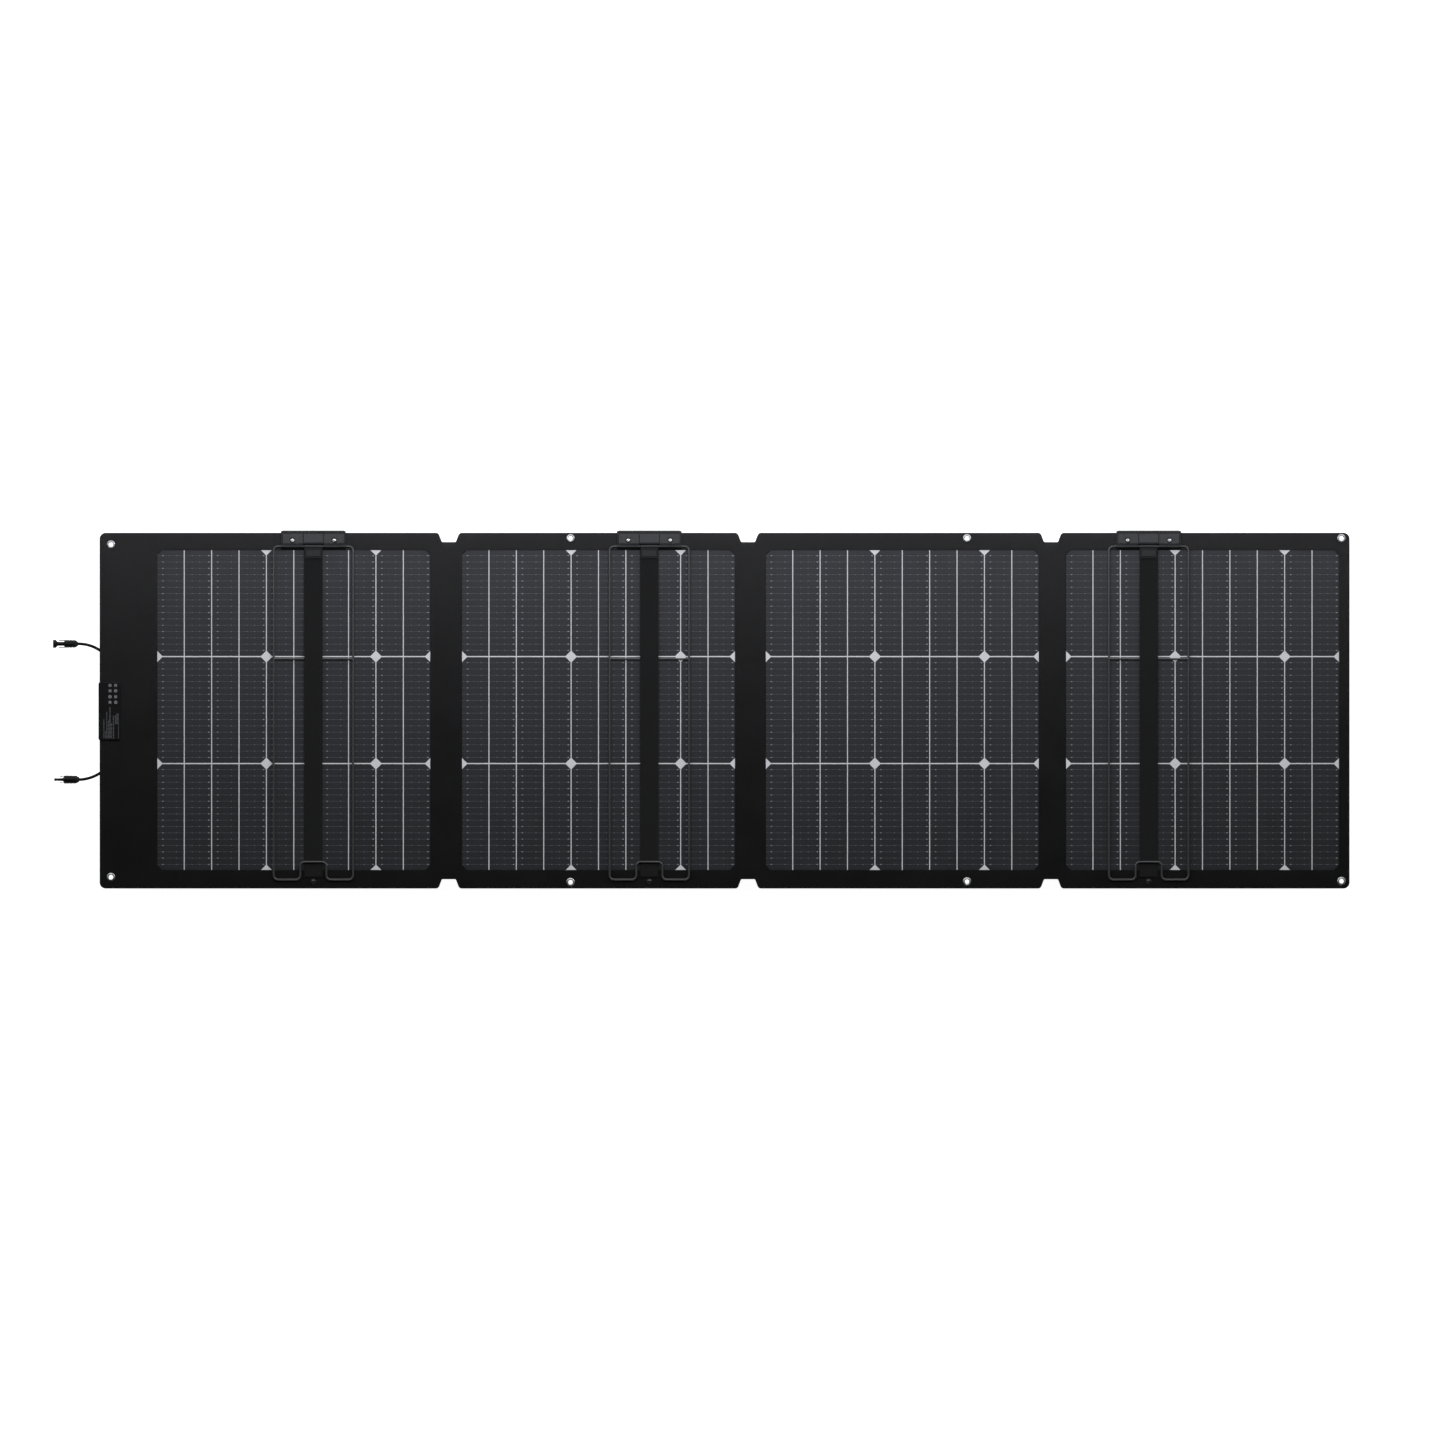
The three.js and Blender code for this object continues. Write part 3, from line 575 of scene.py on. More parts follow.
    def object(self, name, *materials, sharp=40, weighted=True):
        """A mesh object of the faces, smooth but for edges sharper than the given angle."""
        mesh = bpy.data.meshes.new(name)
        mesh.from_pydata([tuple(c * MM for c in v) for v in self.vertices], [], self.faces)
        mesh.validate()
        for material in materials:
            mesh.materials.append(material)
        layer = mesh.uv_layers.new(name="flat")
        for loop in mesh.loops:
            layer.data[loop.index].uv = [c * MM for c in self.vertices[loop.vertex_index][:2]]
        mesh.shade_smooth()
        mesh.set_sharp_from_angle(angle=math.radians(sharp))
        obj = bpy.data.objects.new(name, mesh)
        scene.collection.objects.link(obj)
        if weighted:
            obj.modifiers.new("flat_faces", "WEIGHTED_NORMAL").keep_sharp = True
        mesh.polygons.foreach_set("material_index", self.slots)
        attribute = mesh.attributes.new("wear", "FLOAT", "POINT")
        for index, amount in self.wear.items():
            attribute.data[index].value = amount
        return obj


def aligned(axis, cx, cy, cz, a, b, h):
    """Turns a lathe's axes into the frame's; along -X the height runs outward from the sheet."""
    if axis == "X":
        return cx + h, cy + a, cz + b
    if axis == "-X":
        return cx - h, cy - a, cz + b
    return cx + a, cy + b, cz + h


def inset_points(points, inset):
    """Moves a closed loop's points into the material on its left, by inset times their weight."""
    moved = []
    count = len(points)
    for i, (u, v, weight) in enumerate(points):
        last, following = points[i - 1], points[(i + 1) % count]
        before = Vector((u - last[0], v - last[1])).normalized()
        after = Vector((following[0] - u, following[1] - v)).normalized()
        normal_a, normal_b = Vector((-before.y, before.x)), Vector((-after.y, after.x))
        miter = (normal_a + normal_b) / max(0.4, 1 + normal_a.dot(normal_b))
        moved.append((u + miter.x * inset * weight, v + miter.y * inset * weight))
    return moved


def rounded(corners, steps=8):
    """A closed loop from corners (x, y, rounding start, weight), with a true arc at each corner
    that starts that far before it."""
    points = []
    count = len(corners)
    for i, (x, y, start, weight) in enumerate(corners):
        if not start:
            points.append((x, y, weight))
            continue
        here = Vector((x, y))
        back, ahead = ((Vector(corners[(i + k) % count][:2]) - here).normalized() for k in (-1, 1))
        half = back.angle(ahead) / 2
        centre = here + (back + ahead).normalized() * start / math.cos(half)
        first, last = here + back * start - centre, here + ahead * start - centre
        turn = math.pi - 2 * half
        for step in range(steps + 1):
            share = turn * step / steps
            p = centre + (first * math.sin(turn - share) + last * math.sin(share)) / math.sin(turn)
            points.append((p.x, p.y, weight))
    return points


def rectangle(x0, x1, y0, y1, r, steps=6):
    return rounded([(x0, y0, r, 1), (x1, y0, r, 1), (x1, y1, r, 1), (x0, y1, r, 1)], steps)


def ring_points(x, y, radius, sides=40):
    """A round hole's loop, with the material outside it."""
    angles = [-2 * math.pi * i / sides for i in range(sides)]
    return [(x + radius * math.cos(a), y + radius * math.sin(a), 1) for a in angles]


def soft_edges(low, high, r, steps=4):
    """A profile from low to high with both edges rounded by r."""
    arc = [(r - r * math.sin(a), r - r * math.cos(a))
           for a in (math.pi / 2 * i / steps for i in range(steps + 1))]
    bottom = [(inset, low + rise, 0) for inset, rise in arc]
    top = [(inset, high - rise, 0) for inset, rise in reversed(arc)]
    return bottom + top


def smooth_path(points, between=4):
    """Catmull-Rom points through the given ones."""
    p = [Vector(q) for q in points]
    p = [2 * p[0] - p[1], *p, 2 * p[-1] - p[-2]]
    path = []
    for i in range(1, len(p) - 2):
        for step in range(between):
            t = step / between
            path.append(0.5 * (2 * p[i] + (p[i + 1] - p[i - 1]) * t
                               + (2 * p[i - 1] - 5 * p[i] + 4 * p[i + 1] - p[i + 2]) * t ** 2
                               + (3 * p[i] - p[i - 1] - 3 * p[i + 1] + p[i + 2]) * t ** 3))
    path.append(p[-2])
    return path


def finish_piece(obj, body, slot, *nodes):
    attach(obj, body)
    if nodes:
        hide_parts(*nodes)
    return obj


# Leads and connectors -------------------------------------

def latch(build, end, start, stop, offset, thickness, width):
    """Two springy arms beside a connector's nose."""
    for side in (-1, 1):
        y = end[1] + side * offset
        build.shell([(rectangle(end[0] - stop, end[0] - start, y - thickness / 2, y + thickness / 2,
                                thickness * 0.3, 3),
                      soft_edges(end[2] - width / 2, end[2] + width / 2, thickness * 0.25, 2))])


def make_nut(name, end, length, small, large):
    nut = Build()
    nut.lathe([(0, 0.3), (small, 0.3), (small + 0.3, 0.8), (large - 0.4, length * 0.45),
               (large, length * 0.55), (large, length - 0.5), (large - 0.4, length), (0, length)],
              end, 72, "-X", flutes=12, depth=0.45)
    obj = nut.object(name, CONNECTOR_PLASTIC)
    return finish_piece(obj, "section_1", "black_plastic", name.replace("gland_", ""))


def make_socket(end):
    body = Build()
    body.lathe([(0, 9.7), (5.7, 9.7), (5.9, 10.2), (6.3, 10.3), (6.7, 10.8), (6.7, 14.2),
                (6.3, 14.5), (6.3, 15.4), (6.7, 15.7), (6.7, 22.6), (6.2, 23.6), (3.6, 24.2),
                (3.4, 25), (3.4, 34.8), (4.2, 36), (6.4, 37.9), (7.1, 38.8), (7.1, 42.9),
                (6.6, 43.4), (3.2, 43.4), (2.4, 43), (2.4, 27), (0, 27)], end, 56, "-X")
    latch(body, end, 22.8, 33.4, 5.9, 1.5, 5)
    return finish_piece(body.object("socket_body", CONNECTOR_PLASTIC), "section_1",
                        "black_plastic", "socket_connector")


def make_plug(end):
    body = Build()
    body.lathe([(0, 11.7), (6.1, 11.7), (6.3, 12.2), (6.7, 12.3), (7.1, 12.8), (7.1, 16.4),
                (6.7, 16.7), (6.7, 17.6), (7.1, 17.9), (7.1, 25.6), (6.5, 26.7), (4.2, 27.3),
                (2.9, 28.7), (2.5, 31), (2.2, 40.2), (2.5, 40.7), (2.5, 42.9), (2.1, 43.6),
                (0, 43.6)], end, 56, "-X")
    latch(body, end, 25.8, 33, 5.4, 1, 4)
    latch(body, end, 30.6, 33.4, 5.4, 1.6, 4)
    return finish_piece(body.object("plug_body", CONNECTOR_PLASTIC), "section_1",
                        "black_plastic", "plug_connector")


lead_ends = [route[-1] for route in LEAD_ROUTES]
on_leads = [
    [make_nut("gland_socket_nut", lead_ends[0], 10, 3.6, 6.7), make_socket(lead_ends[0])],
    [make_nut("gland_plug_nut", lead_ends[1], 12, 3.9, 7.1), make_plug(lead_ends[1])],
]
for number, (route, on_lead) in enumerate(zip(LEAD_ROUTES, on_leads), 1):
    path = smooth_path(route)
    jacket = Build()
    jacket.tube(path, LEAD_R, 24)
    lead = finish_piece(jacket.object(f"lead_jacket_{number}", RUBBER), "section_1",
                        "cable_jacket", f"lead_{number}")
    length = sum((b - a).length for a, b in zip(path, path[1:])) * MM


# Borders and folds ----------------------------------------

def section_outline(section):
    """The section's outline, anticlockwise. Its free edges have weight 1 and its fold edges 0."""
    corners = []
    for x, side in ((section["right"], 1), (section["left"], -1)):
        if x in (SHEET_LEFT, SHEET_RIGHT):
            end = [(x, SHEET_BOTTOM, SHEET_CORNER, 1), (x, SHEET_TOP, SHEET_CORNER, 1)]
            if x == SHEET_LEFT:
                end[1:1] = [(x, BITE_BOTTOM, 0, 0), (BITE_X, BITE_BOTTOM, 0, 0),
                            (BITE_X, BITE_TOP, 0, 0), (x, BITE_TOP, 0, 0)]
        else:
            end = []
            for y, up in ((SHEET_BOTTOM, 1), (SHEET_TOP, -1)):
                notch = [(x - side * NOTCH_MOUTH, y, 4.5, 1),
                         (x - side * NOTCH_FLOOR, y + up * NOTCH_DEPTH, 1.8, 1),
                         (x - side * FOLD_EDGE, y + up * NOTCH_DEPTH, 0, 0)]
                end += notch if up > 0 else notch[::-1]
        corners += end if side > 0 else end[::-1]
    return rounded(corners, 10)


def window_outline(centre):
    """The window over the cells, clockwise, with its corners cut like the wafers'."""
    x0, x1 = centre - AREA_HALF_X - 0.15, centre + AREA_HALF_X + 0.15
    y0, y1 = CELLS_Y - AREA_HALF_Y - 0.15, CELLS_Y + AREA_HALF_Y + 0.15
    c = CHAMFER
    points = [(x0, y0 + c), (x0, y1 - c), (x0 + c, y1), (x1 - c, y1), (x1, y1 - c), (x1, y0 + c),
              (x1 - c, y0), (x0 + c, y0)]
    return [(x, y, 1) for x, y in points]


EDGE_PROFILE = [(1.0, UNDERSIDE, 0), (0.3, UNDERSIDE + 0.25, 0.3), (0, UNDERSIDE + 0.9, 0.6),
                (0, REAR - RIM_DROP - 0.8, 0.6), (0.25, REAR - RIM_DROP - 0.25, 0.5),
                (0.6, REAR - RIM_DROP, 0.2), (RIM_WIDTH, REAR - RIM_DROP, 0),
                (RIM_WIDTH + 0.3, REAR - 0.45, 0.3), (RIM_WIDTH + 0.6, REAR - 0.12, 0.6),
                (RIM_WIDTH + 1.0, REAR, 0)]
WINDOW_PROFILE = [(0.5, UNDERSIDE, 0), (0, UNDERSIDE + 0.4, 0.2), (0, REAR - 0.45, 0.1),
                  (0.12, REAR - 0.15, 0.3), (0.45, REAR, 0)]
EYELET_R, SCREW_HOLE_R = 5.2, 2.3
EYELET_PROFILE = [(0, UNDERSIDE, 0), (0, REAR - 0.55, 0), (2.0, REAR - 0.55, 0),
                  (2.1, REAR - 0.4, 0), (2.15, REAR - 0.15, 0.2), (2.25, REAR, 0)]
HOLE_PROFILE = [(0, UNDERSIDE, 0), (0, REAR, 0)]

for number, section in enumerate(SECTIONS, 1):
    cover = Build()
    loops = [(section_outline(section), EDGE_PROFILE),
             (window_outline(section["cells"]), WINDOW_PROFILE)]
    loops += [(ring_points(x, y, EYELET_R, 48), EYELET_PROFILE) for x, y in section["eyelets"]]
    if section["stand"] is not None:
        holes = [(section["stand"] + x, y) for x, y in
                 ((-SCREW_X, SCREW_Y), (SCREW_X, SCREW_Y), (0, STUD_Y))]
        loops += [(ring_points(x, y, SCREW_HOLE_R, 16), HOLE_PROFILE) for x, y in holes]
    cover.shell(loops)
    finish_piece(cover.object(f"border_cover_{number}", FABRIC), f"section_{number}",
                 "border_fabric", f"border_{number}")

FOLD_LOW = 2.9
FOLD_COLUMNS, FOLD_ROWS = 28, 58


def make_fold(number, x):
    """A finely divided strip of cloth, so that it can turn smoothly as the sheet folds."""
    y0, y1 = SHEET_BOTTOM + NOTCH_DEPTH, SHEET_TOP - NOTCH_DEPTH
    ends = [(0, 1.1), (0.25, 0.45), (0.9, 0.1)]
    rows = [(y0 + a, b) for a, b in ends]
    rows += [(y0 + 2 + (y1 - y0 - 4) * i / FOLD_ROWS, 0) for i in range(FOLD_ROWS + 1)]
    rows += [(y1 - a, b) for a, b in reversed(ends)]
    xs = [x - FOLD_EDGE + 2 * FOLD_EDGE * i / FOLD_COLUMNS for i in range(FOLD_COLUMNS + 1)]
    strip = Build()
    top = [[strip.point(u, y, REAR - drop, 0.4 if drop else 0) for u in xs] for y, drop in rows]
    low = [[strip.point(u, y, FOLD_LOW + drop) for u in xs] for y, drop in rows]
    strip.sheet(top, low)
    fold = strip.object(f"fold_cloth_{number}{number + 1}", FABRIC, sharp=60, weighted=False)
    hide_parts(f"fold_strip_{number}{number + 1}")
    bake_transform(fold)


for number, x in enumerate(FOLD_X, 1):
    make_fold(number, x)


# Eyelets --------------------------------------------------

def make_eyelet(name, node, body, x, y):
    """A rolled steel grommet: a domed ring on the rear, a barrel, and a washer in front."""
    grommet = Build()
    grommet.lathe([(3.7, 0.6), (4.0, 0.15), (4.6, 0), (6.9, 0), (7.2, 0.3), (7.1, 0.9), (6.4, 1.3),
                   (5, 1.3), (5, REAR - 0.5), (7.0, REAR - 0.5), (7.25, REAR - 0.2),
                   (7.15, REAR + 0.35), (6.7, REAR + 0.85), (6.0, REAR + 1.25), (5.2, REAR + 1.4),
                   (4.5, REAR + 1.2), (4.0, REAR + 0.7), (3.75, REAR)], (x, y, 0), 56, closed=True)
    return finish_piece(grommet.object(name, STEEL, sharp=50), body, "plated_steel", node)


for number, section in enumerate(SECTIONS, 1):
    for (x, y), place in zip(section["eyelets"], ("top", "bottom")):
        make_eyelet(f"grommet_{number}_{place}", f"eyelet_{number}_{place}",
                    f"section_{number}", x, y)


# Stands ---------------------------------------------------

def leg_route():
    """The bent wire's middle line, from one end at the pivot round the foot to the other."""
    corners = [(LEG_HALF, PIVOT_Y), (LEG_HALF, FOOT_Y), (GRIP_HALF, FOOT_Y), (GRIP_HALF, GRIP_Y)]
    corners += [(-x, y) for x, y in reversed(corners)]
    route = [Vector(p) for p in [(0.5, PIVOT_Y), *corners, (-0.5, PIVOT_Y)]]
    path = [route[0]]
    for i in range(1, len(route) - 1):
        along = (route[i] - route[i - 1]).normalized()
        onward = (route[i + 1] - route[i]).normalized()
        centre = route[i] - along * WIRE_BEND + onward * WIRE_BEND
        for step in range(11):
            angle = step * math.pi / 20
            path.append(centre + along * WIRE_BEND * math.sin(angle)
                        - onward * WIRE_BEND * math.cos(angle))
    path.append(route[-1])
    return [(p.x, p.y, PIVOT_Z) for p in path]


def mirrored(half):
    """A bar's profile from one half of it, given as (radius, distance from the middle)."""
    return [(r, -h) for r, h in half] + [(r, h) for r, h in reversed(half)]


def make_leg(number, x):
    leg = Build((x, 0, 0))
    leg.tube(leg_route(), WIRE_R, 20)
    # The crossbar takes the lighter copy of the wire paint, a painted highlight
    leg.slot = 1
    inner = LEG_HALF - 0.6
    half = [(0, inner), (2.25, inner), (2.2, inner - 0.9), (1.75, inner - 1.9), (1.5, inner - 3)]
    leg.lathe(mirrored(half), (0, CROSSBAR_Y, PIVOT_Z), 20, "X")
    finish_piece(leg.object(f"stand_leg_{number}", WIRE, BAR_PAINTED_HIGHLIGHT, sharp=50), f"leg_{number}",
                 "black_wire", f"leg_wire_{number}")


def make_clip(number, x):
    """A folded clip: a sleeve on the pivot wire, two leaves round the strap, a raised pad."""
    clip = Build((x, 0, 0))
    half = [(1.9, CLIP_HALF), (2.6, CLIP_HALF), (2.9, CLIP_HALF - 0.3)]
    clip.lathe(mirrored(half), (0, PIVOT_Y, PIVOT_Z), 40, "X", closed=True)
    clip.slot = 1
    for low, high in ((7.2, 8.6), (10.2, 11.6)):
        leaf = rounded([(-CLIP_HALF, CLIP_END, 1.4, 1), (CLIP_HALF, CLIP_END, 1.4, 1),
                        (CLIP_HALF, PIVOT_Y - 1.6, 0, 1), (-CLIP_HALF, PIVOT_Y - 1.6, 0, 1)])
        clip.shell([(leaf, soft_edges(low, high, 0.45, 3))])
    clip.slot = 2
    pad = rectangle(-12.3, 12.3, CLIP_END + 3.6, PIVOT_Y - 6.8, 1.2)
    clip.shell([(pad, soft_edges(11.0, 12.5, 0.5, 4))])
    finish_piece(clip.object(f"clip_{number}", CLAMP_PLASTIC, LEAF_PLASTIC, PAD_PLASTIC),
                 f"leg_{number}", "clamp_plastic", f"strap_clip_{number}")


RIBS, RIB_SAMPLES, RIB_HEIGHT = 26, 4, 0.06
HEM_START, HEM_EXTRA = -276, 0.35


def make_strap(number, x):
    """Ribbed webbing along the strap's path, rounded at its selvedges, with a hem at its end."""
    path = smooth_path([(0, y, z) for y, z in STRAP_PATH], 9)
    columns = RIBS * RIB_SAMPLES
    strap = Build((x, 0, 0))
    sides = []
    for i, p in enumerate(path):
        ahead = path[min(i + 1, len(path) - 1)] - path[max(i - 1, 0)]
        up = Vector((0, ahead.z, -ahead.y)).normalized()
        up = up if up.z > 0 else -up
        hem = HEM_EXTRA if p.y < HEM_START else 0.0
        rows = ([], [])
        for c in range(columns + 1):
            u = -STRAP_HALF + 2 * STRAP_HALF * c / columns
            rib = RIB_HEIGHT * math.cos(2 * math.pi * c / RIB_SAMPLES)
            rim = min(1.0, (STRAP_HALF - abs(u)) / 1.1)
            bulge = math.sqrt(max(0.0, 1 - (1 - rim) ** 2))
            thick = (STRAP_THICK / 2 + hem) * (0.35 + 0.65 * bulge)
            for row, side in zip(rows, (1, -1)):
                place = p + up * side * (thick + rib)
                row.append(strap.point(u, place.y, place.z))
        sides.append(rows[::-1])
    strap.sheet(*zip(*sides))       # its rows go down the sheet, so the low side comes first
    obj = strap.object(f"webbing_{number}", WEBBING, sharp=70, weighted=False)
    finish_piece(obj, f"leg_{number}", "webbing", f"strap_{number}")


def clamp_outline(bottom):
    """The clamp seen from above: its two far corners are cut off."""
    half, top, cut = CLAMP_HALF, CLAMP_TOP, 3.5
    corners = [(-half, bottom), (half, bottom), (half, top - cut), (half - cut, top),
               (cut - half, top), (-half, top - cut)]
    return rounded([(x, y, 1.6, 1) for x, y in corners], 4)


def rim_outline(x0, x1):
    """A piece of the clamp's rim, with its outer corner cut like the clamp's."""
    low, top, cut = CLAMP_TOP - 2.8, CLAMP_TOP, 3.0
    corners = [(x0, low, 0, 1), (x1, low, 0, 1)]
    if x1 > ZONE_HALF:
        corners += [(x1, low + 1.3, 0, 1), (x1 - cut, top, 0.8, 1)]
    else:
        corners.append((x1, top, 0.5, 1))
    if x0 < -ZONE_HALF:
        corners += [(x0 + cut, top, 0.8, 1), (x0, low + 1.3, 0, 1)]
    else:
        corners.append((x0, top, 0.5, 1))
    return rounded(corners, 3)


def make_clamp(number, x, body):
    """A hook round the sheet's edge, its base darker than the rest as painted shade in the grooves,
    with a raised rim, two cheeks with screw wells, a middle plate, the knuckles that hold the pivot
    wire, and below them a thin near-black strip that is a painted shadow."""
    clamp = Build((x, 0, 0))
    holes = [ring_points(side * SCREW_X, SCREW_Y, 2.4, 20) for side in (-1, 1)]
    # The base plate, hook and jaw take the darker base plastic, painted shade in the grooves above
    # them
    plate = [(clamp_outline(CLAMP_BOTTOM + 0.2), soft_edges(REAR + 0.3, 11, 0.8))]
    clamp.shell(plate + [(hole, [(0, REAR + 0.3, 0), (0, 11, 0)]) for hole in holes])
    clamp.shell([(clamp_outline(SHEET_TOP + 0.4), soft_edges(0, BED_Z, 0.7, 3))])
    jaw = [(clamp_outline(CLAMP_BOTTOM), soft_edges(0, 1.2, 0.35, 2))]
    clamp.shell(jaw + [(hole, [(0, 0, 0), (0, 1.2, 0)]) for hole in holes])
    clamp.slot = 1
    for x0, x1 in ((-CLAMP_HALF + 0.2, -ZONE_HALF - 0.4), (-ZONE_HALF + 0.4, ZONE_HALF - 0.4),
                   (ZONE_HALF + 0.4, CLAMP_HALF - 0.2)):
        clamp.shell([(rim_outline(x0, x1), soft_edges(BED_Z, RIM_Z, 0.3, 3))])
    for side in (-1, 1):
        x0, x1 = sorted((side * (ZONE_HALF + 0.4), side * CHEEK_END))
        well = ring_points(side * SCREW_X, SCREW_Y, 4.7, 40)
        lips = [(0, BED_Z, 0), (0, CHEEK_Z - 0.3, 0), (0.06, CHEEK_Z - 0.1, 0), (0.2, CHEEK_Z, 0)]
        cheek = rectangle(x0, x1, CHEEK_BOTTOM, CHEEK_TOP, 1.2)
        clamp.shell([(cheek, soft_edges(BED_Z, CHEEK_Z, 0.38)), (well, lips)])
        k0, k1 = sorted((side * ZONE_HALF, side * CLAMP_HALF))
        clamp.lathe([(1.9, k0), (2.1, k0), (2.35, k0 + 0.3), (2.35, k1 - 0.3), (2.1, k1),
                     (1.9, k1)], (0, PIVOT_Y, PIVOT_Z), 40, "X", closed=True)
        # The web under each knuckle goes back to the base's darker plastic, painted shade
        clamp.slot = 0
        web = rectangle(k0, k1, PIVOT_Y + 1.6, CLAMP_BOTTOM + 1.5, 0.5, 2)
        clamp.shell([(web, soft_edges(PIVOT_Z - 1.2, PIVOT_Z + 1.0, 0.4, 2))])
        clamp.slot = 1
    clamp.slot = 2
    clamp.shell([(rectangle(0.5 - ZONE_HALF, ZONE_HALF - 0.5, CHEEK_BOTTOM + 1.4, CHEEK_TOP, 1.2),
                  soft_edges(BED_Z, PLATE_Z, 0.6))])
    # A thin near-black strip from the knuckles down to the cells: a painted shadow on the border
    clamp.slot = 3
    clamp.shell([(rectangle(-CLAMP_HALF, CLAMP_HALF, SHADOW_STRIP_BOTTOM, CLAMP_BOTTOM + 1, 0.8, 3),
                  soft_edges(REAR - 0.1, REAR + 0.25, 0.12, 2))])
    materials = SHADED_BASE_PLASTIC, CLAMP_PLASTIC, PLATE_PLASTIC, PAINTED_SHADOW_STRIP
    finish_piece(clamp.object(f"clamp_{number}", *materials), body, "clamp_plastic",
                 f"stand_clamp_{number}")


def make_screw(number, place, x, body):
    """A plated button-head screw with a hexagon socket."""
    screw = Build((x, SCREW_Y, 0))
    socket = [(1.35 * math.cos(-math.pi * i / 3), 1.35 * math.sin(-math.pi * i / 3), 1)
              for i in range(6)]
    head = ring_points(0, 0, 3.75, 48)[::-1]
    screw.shell([(head, [(0.3, 10.9, 0), (0, 11.1, 0), (0, 11.9, 0), (0.25, 12.35, 0),
                         (0.8, 12.7, 0), (1.5, 12.88, 0), (2.1, 12.9, 0)]),
                 (socket, [(0, 10.9, 0), (0, 12.9, 0)])])
    screw.lathe([(0, 0.3), (2, 0.3), (2, 11.4), (0, 11.4)], (0, 0, 0), 24)
    finish_piece(screw.object(f"screw_{number}_{place}", STEEL, sharp=30), body,
                 "plated_steel", f"clamp_screw_{number}_{place}")


def make_stud(number, x, body):
    """A snap stud: a domed glossy cap in a ring, with its washer on the front."""
    stud = Build((x, STUD_Y, 0))
    stud.lathe([(0, 0.3), (3.6, 0.3), (4.0, 0.6), (4.0, 1.0), (3.6, 1.25), (2, 1.25), (2, 6.7),
                (4.6, 6.7), (4.8, 7.0), (4.7, 7.5), (4.2, 7.8), (3.8, 7.75), (3.6, 8.1),
                (3.1, 8.75), (2.3, 9.15), (1.2, 9.35), (0, 9.4)], (0, 0, 0), 48)
    finish_piece(stud.object(f"snap_stud_{number}", STUD_PLASTIC, sharp=50), body,
                 "black_plastic", f"strap_stud_{number}")


stands = [(n, s["stand"]) for n, s in enumerate(SECTIONS, 1) if s["stand"] is not None]
for number, (section_number, x) in enumerate(stands, 1):
    body = f"section_{section_number}"
    make_leg(number, x)
    make_clip(number, x)
    make_strap(number, x)
    make_clamp(number, x, body)
    make_stud(number, x, body)
    for place, side in (("left", -1), ("right", 1)):
        make_screw(number, place, x + side * SCREW_X, body)


# Junction box ---------------------------------------------

cover = Build()
cover.shell([(rectangle(BOX_LEFT, BOX_RIGHT, BOX_BOTTOM, BOX_TOP, 3.5),
              [(0, 6.6, 0), (0, 8.3, 0), (0.25, 8.9, 0), (0.7, 9.25, 0), (1.3, 9.4, 0),
               (2.6, 9.4, 0), (2.8, 9.35, 0), (3.0, 9.15, 0)])])
finish_piece(cover.object("box_cover", BOX_PLASTIC), "section_1", "black_plastic", "junction_cover")

PRINT_LOW, PRINT_HIGH = 9.05, 9.19
MARK_COLUMNS, MARK_ROWS = (19.9, 29.7), (5.4, 14.9, 25.0, 34.6)
random.seed(7)
label = Build()
for row, down in enumerate(MARK_ROWS):
    for column, across in enumerate(MARK_COLUMNS):
        x, y = BOX_LEFT + across, BOX_TOP - down
        flat = [(0, PRINT_LOW, 0), (0, PRINT_HIGH, 0)]
        if (row + column) % 2 == 0:
            label.shell([(ring_points(x, y, 2.7, 32)[::-1], flat),
                         (ring_points(x, y, 1.7, 32), flat)])
            label.shell([(ring_points(x, y, 0.9, 20)[::-1], flat)])
        else:
            for off in (-1.6, 0, 1.6):
                bar = rectangle(x + off - 0.5, x + off + 0.5, y - 2.4, y + 2.4, 0.3, 2)
                label.shell([(bar, flat)])
label.slot = 1
BAR_COLUMNS = [(9.4, 64, 97, 1.4), (12.0, 84, 97, 1.2), (14.4, 51, 97, 1.4), (17.0, 66, 97, 1.4),
               (19.8, 43, 97, 2.0), (22.4, 70, 97, 1.3), (25.8, 58, 97, 1.9), (29.6, 57, 72, 1.9),
               (32.2, 54, 72, 1.9), (34.8, 54, 97, 1.6)]
for across, start, stop, width in BAR_COLUMNS:
    down = start
    while down < stop:
        length = random.uniform(2.2, 7.5)
        end = min(down + length, stop)
        label.shell([(rectangle(BOX_LEFT + across - width / 2, BOX_LEFT + across + width / 2,
                                BOX_TOP - end, BOX_TOP - down, 0.2, 2),
                      soft_edges(PRINT_LOW, PRINT_HIGH, 0.03, 1))])
        down = end + random.uniform(0.5, 1.2)
finish_piece(label.object("label_print", INK, INK_DIM), "section_1", "black_plastic")


# Nodes that keep their CAD shape --------------------------

def dress(node, material):
    """Gives every material slot of a CAD node the finished material."""
    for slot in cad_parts[node].material_slots:
        slot.link = "OBJECT"
        slot.material = material


film = film_material()
for number, section in enumerate(SECTIONS, 1):
    area_left = section["cells"] - AREA_HALF_X
    dress(f"cells_{number}", cell_material(area_left, number))
    dress(f"gap_film_{number}", film)
    dress(f"front_film_{number}", front_material(area_left, number))
dress("junction_base", BLACK_PLASTIC)
dress("diode_board", board_material())


# Stage ----------------------------------------------------

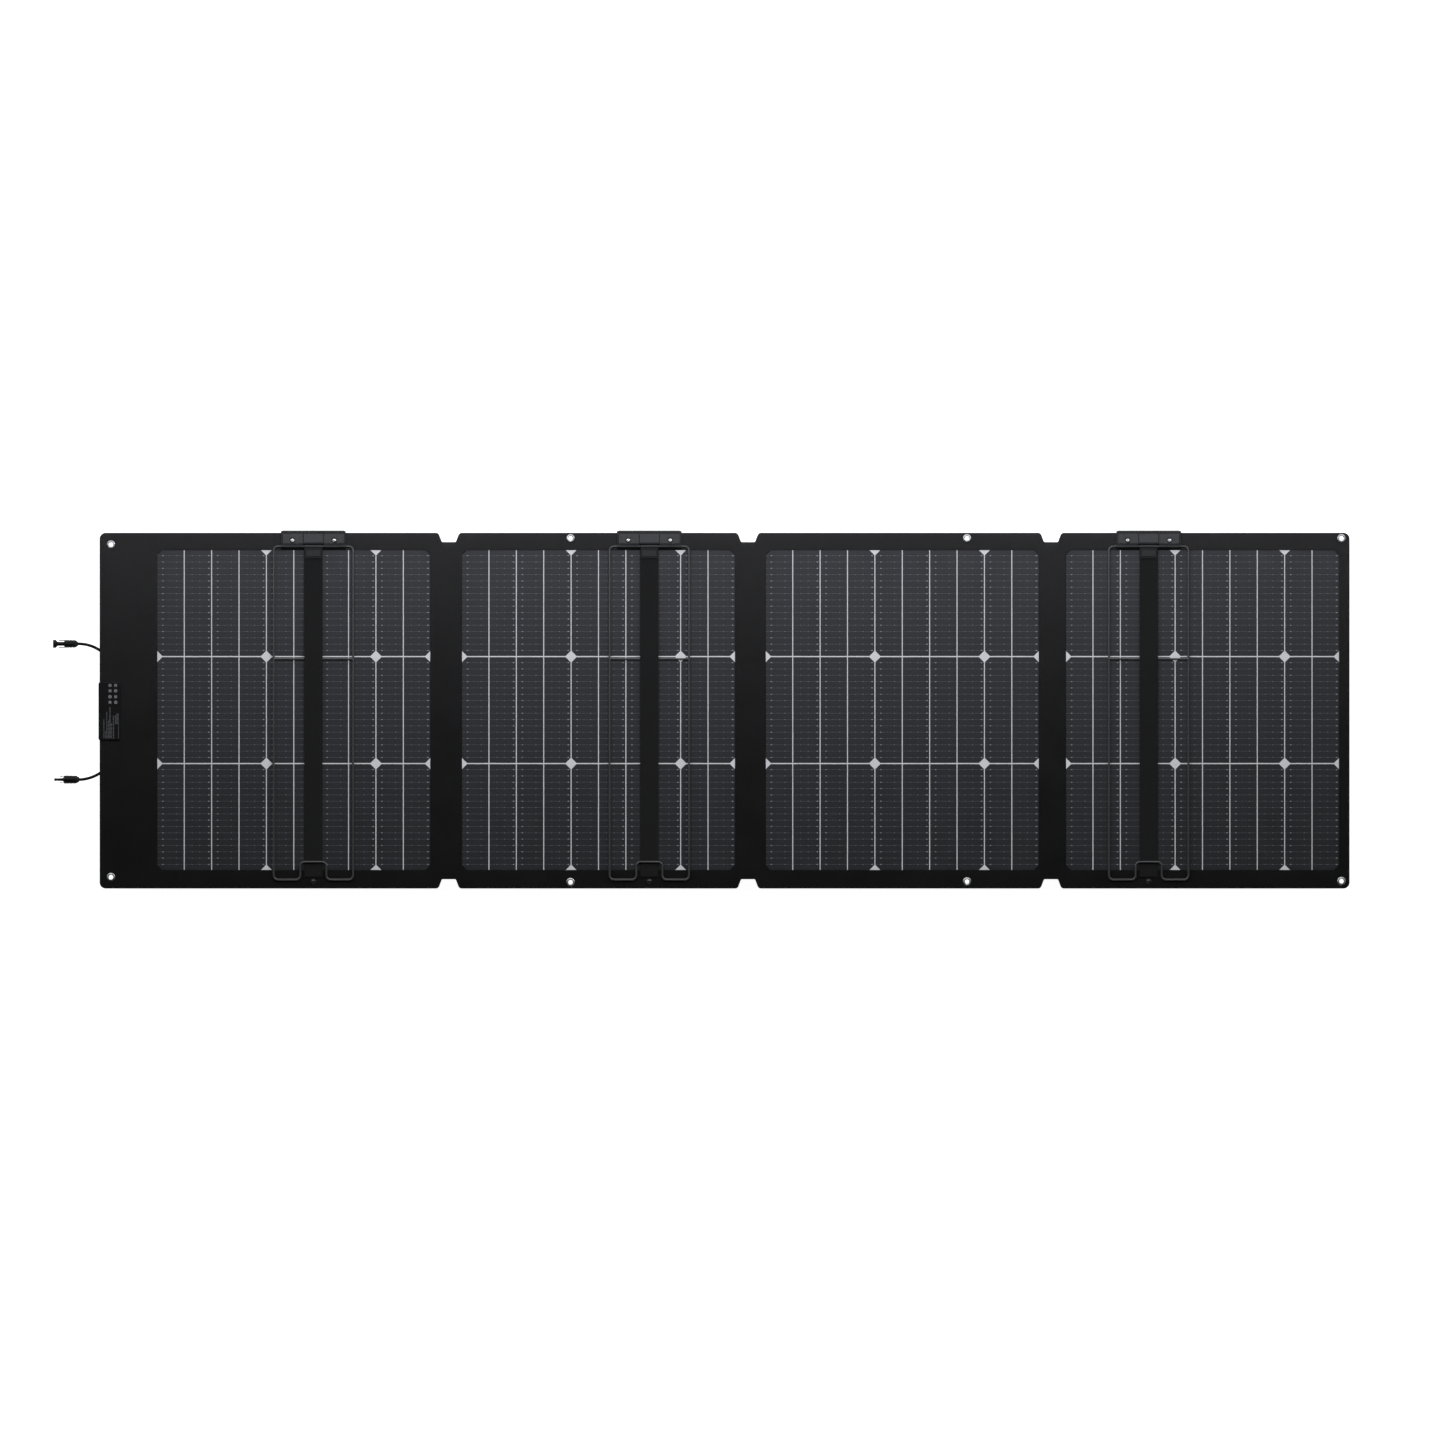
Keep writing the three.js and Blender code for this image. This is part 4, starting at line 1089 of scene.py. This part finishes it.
floor_mesh = bpy.data.meshes.new("floor")
FLOOR_HALF = 15
FLOOR_Z = -0.0285   # clear of the outer sections when they fold under section 2 or 3
floor_mesh.from_pydata([(-FLOOR_HALF, -FLOOR_HALF, FLOOR_Z), (FLOOR_HALF, -FLOOR_HALF, FLOOR_Z),
                        (FLOOR_HALF, FLOOR_HALF, FLOOR_Z), (-FLOOR_HALF, FLOOR_HALF, FLOOR_Z)],
                       [], [(0, 1, 2, 3)])
floor = bpy.data.objects.new("floor", floor_mesh)
scene.collection.objects.link(floor)
floor_look = Material("floor")
floor_look.set(Base_Color=(0.86, 0.86, 0.86), Roughness=0.9, Specular_IOR_Level=0.1,
               Emission_Color=(1, 1, 1), Emission_Strength=0.95)
floor_mesh.materials.append(floor_look.material)

SOFTBOX_RADIANCE, SOFTBOX_X, SOFTBOX_Y = 6.0, 3.0, 0.28
softbox = bpy.data.lights.new("softbox", "AREA")
softbox.shape = "RECTANGLE"
softbox.energy = SOFTBOX_RADIANCE * math.pi * SOFTBOX_X * SOFTBOX_Y
softbox.size, softbox.size_y = SOFTBOX_X, SOFTBOX_Y
softbox.color = (0.98, 0.99, 1.05)
lamp = bpy.data.objects.new("softbox", softbox)
lamp.location = (0, 0.56, 1.26)     # it shines straight down, beyond the sheet's top edge
lamp.visible_camera = False
scene.collection.objects.link(lamp)

# The sky's strength by height, from the horizon to overhead; it is brighter beyond the top edge.
SKY = [(0.0, 0.1), (0.12, 0.6), (0.6, 0.6), (0.72, 0.03), (1.0, 0.0)]
HORIZON = 0.001
world = bpy.data.worlds.new("studio")
scene.world = world
world.use_nodes = True
sky = Nodes(world.node_tree)
_, beyond, height = sky.split(sky.node("TexCoord").outputs["Generated"])
ceiling = sky.node("ValToRGB")
sky.feed(ceiling.inputs[0], height)
ramp = ceiling.color_ramp.elements
while len(ramp) < len(SKY):
    ramp.new(0.5)
for stop, (place, level) in zip(ramp, SKY):
    stop.position = place
    stop.color = (level, level, level, 1)
above = sky.product(ceiling.outputs[0], sky.map_range(beyond, -0.3, 0.9, 0.1, 2.6))
background = world.node_tree.nodes["Background"]
sky.feed(background.inputs["Strength"], sky.math("MAXIMUM", above, sky.within(height, HORIZON)))
background.inputs["Color"].default_value = (1, 1, 1, 1)
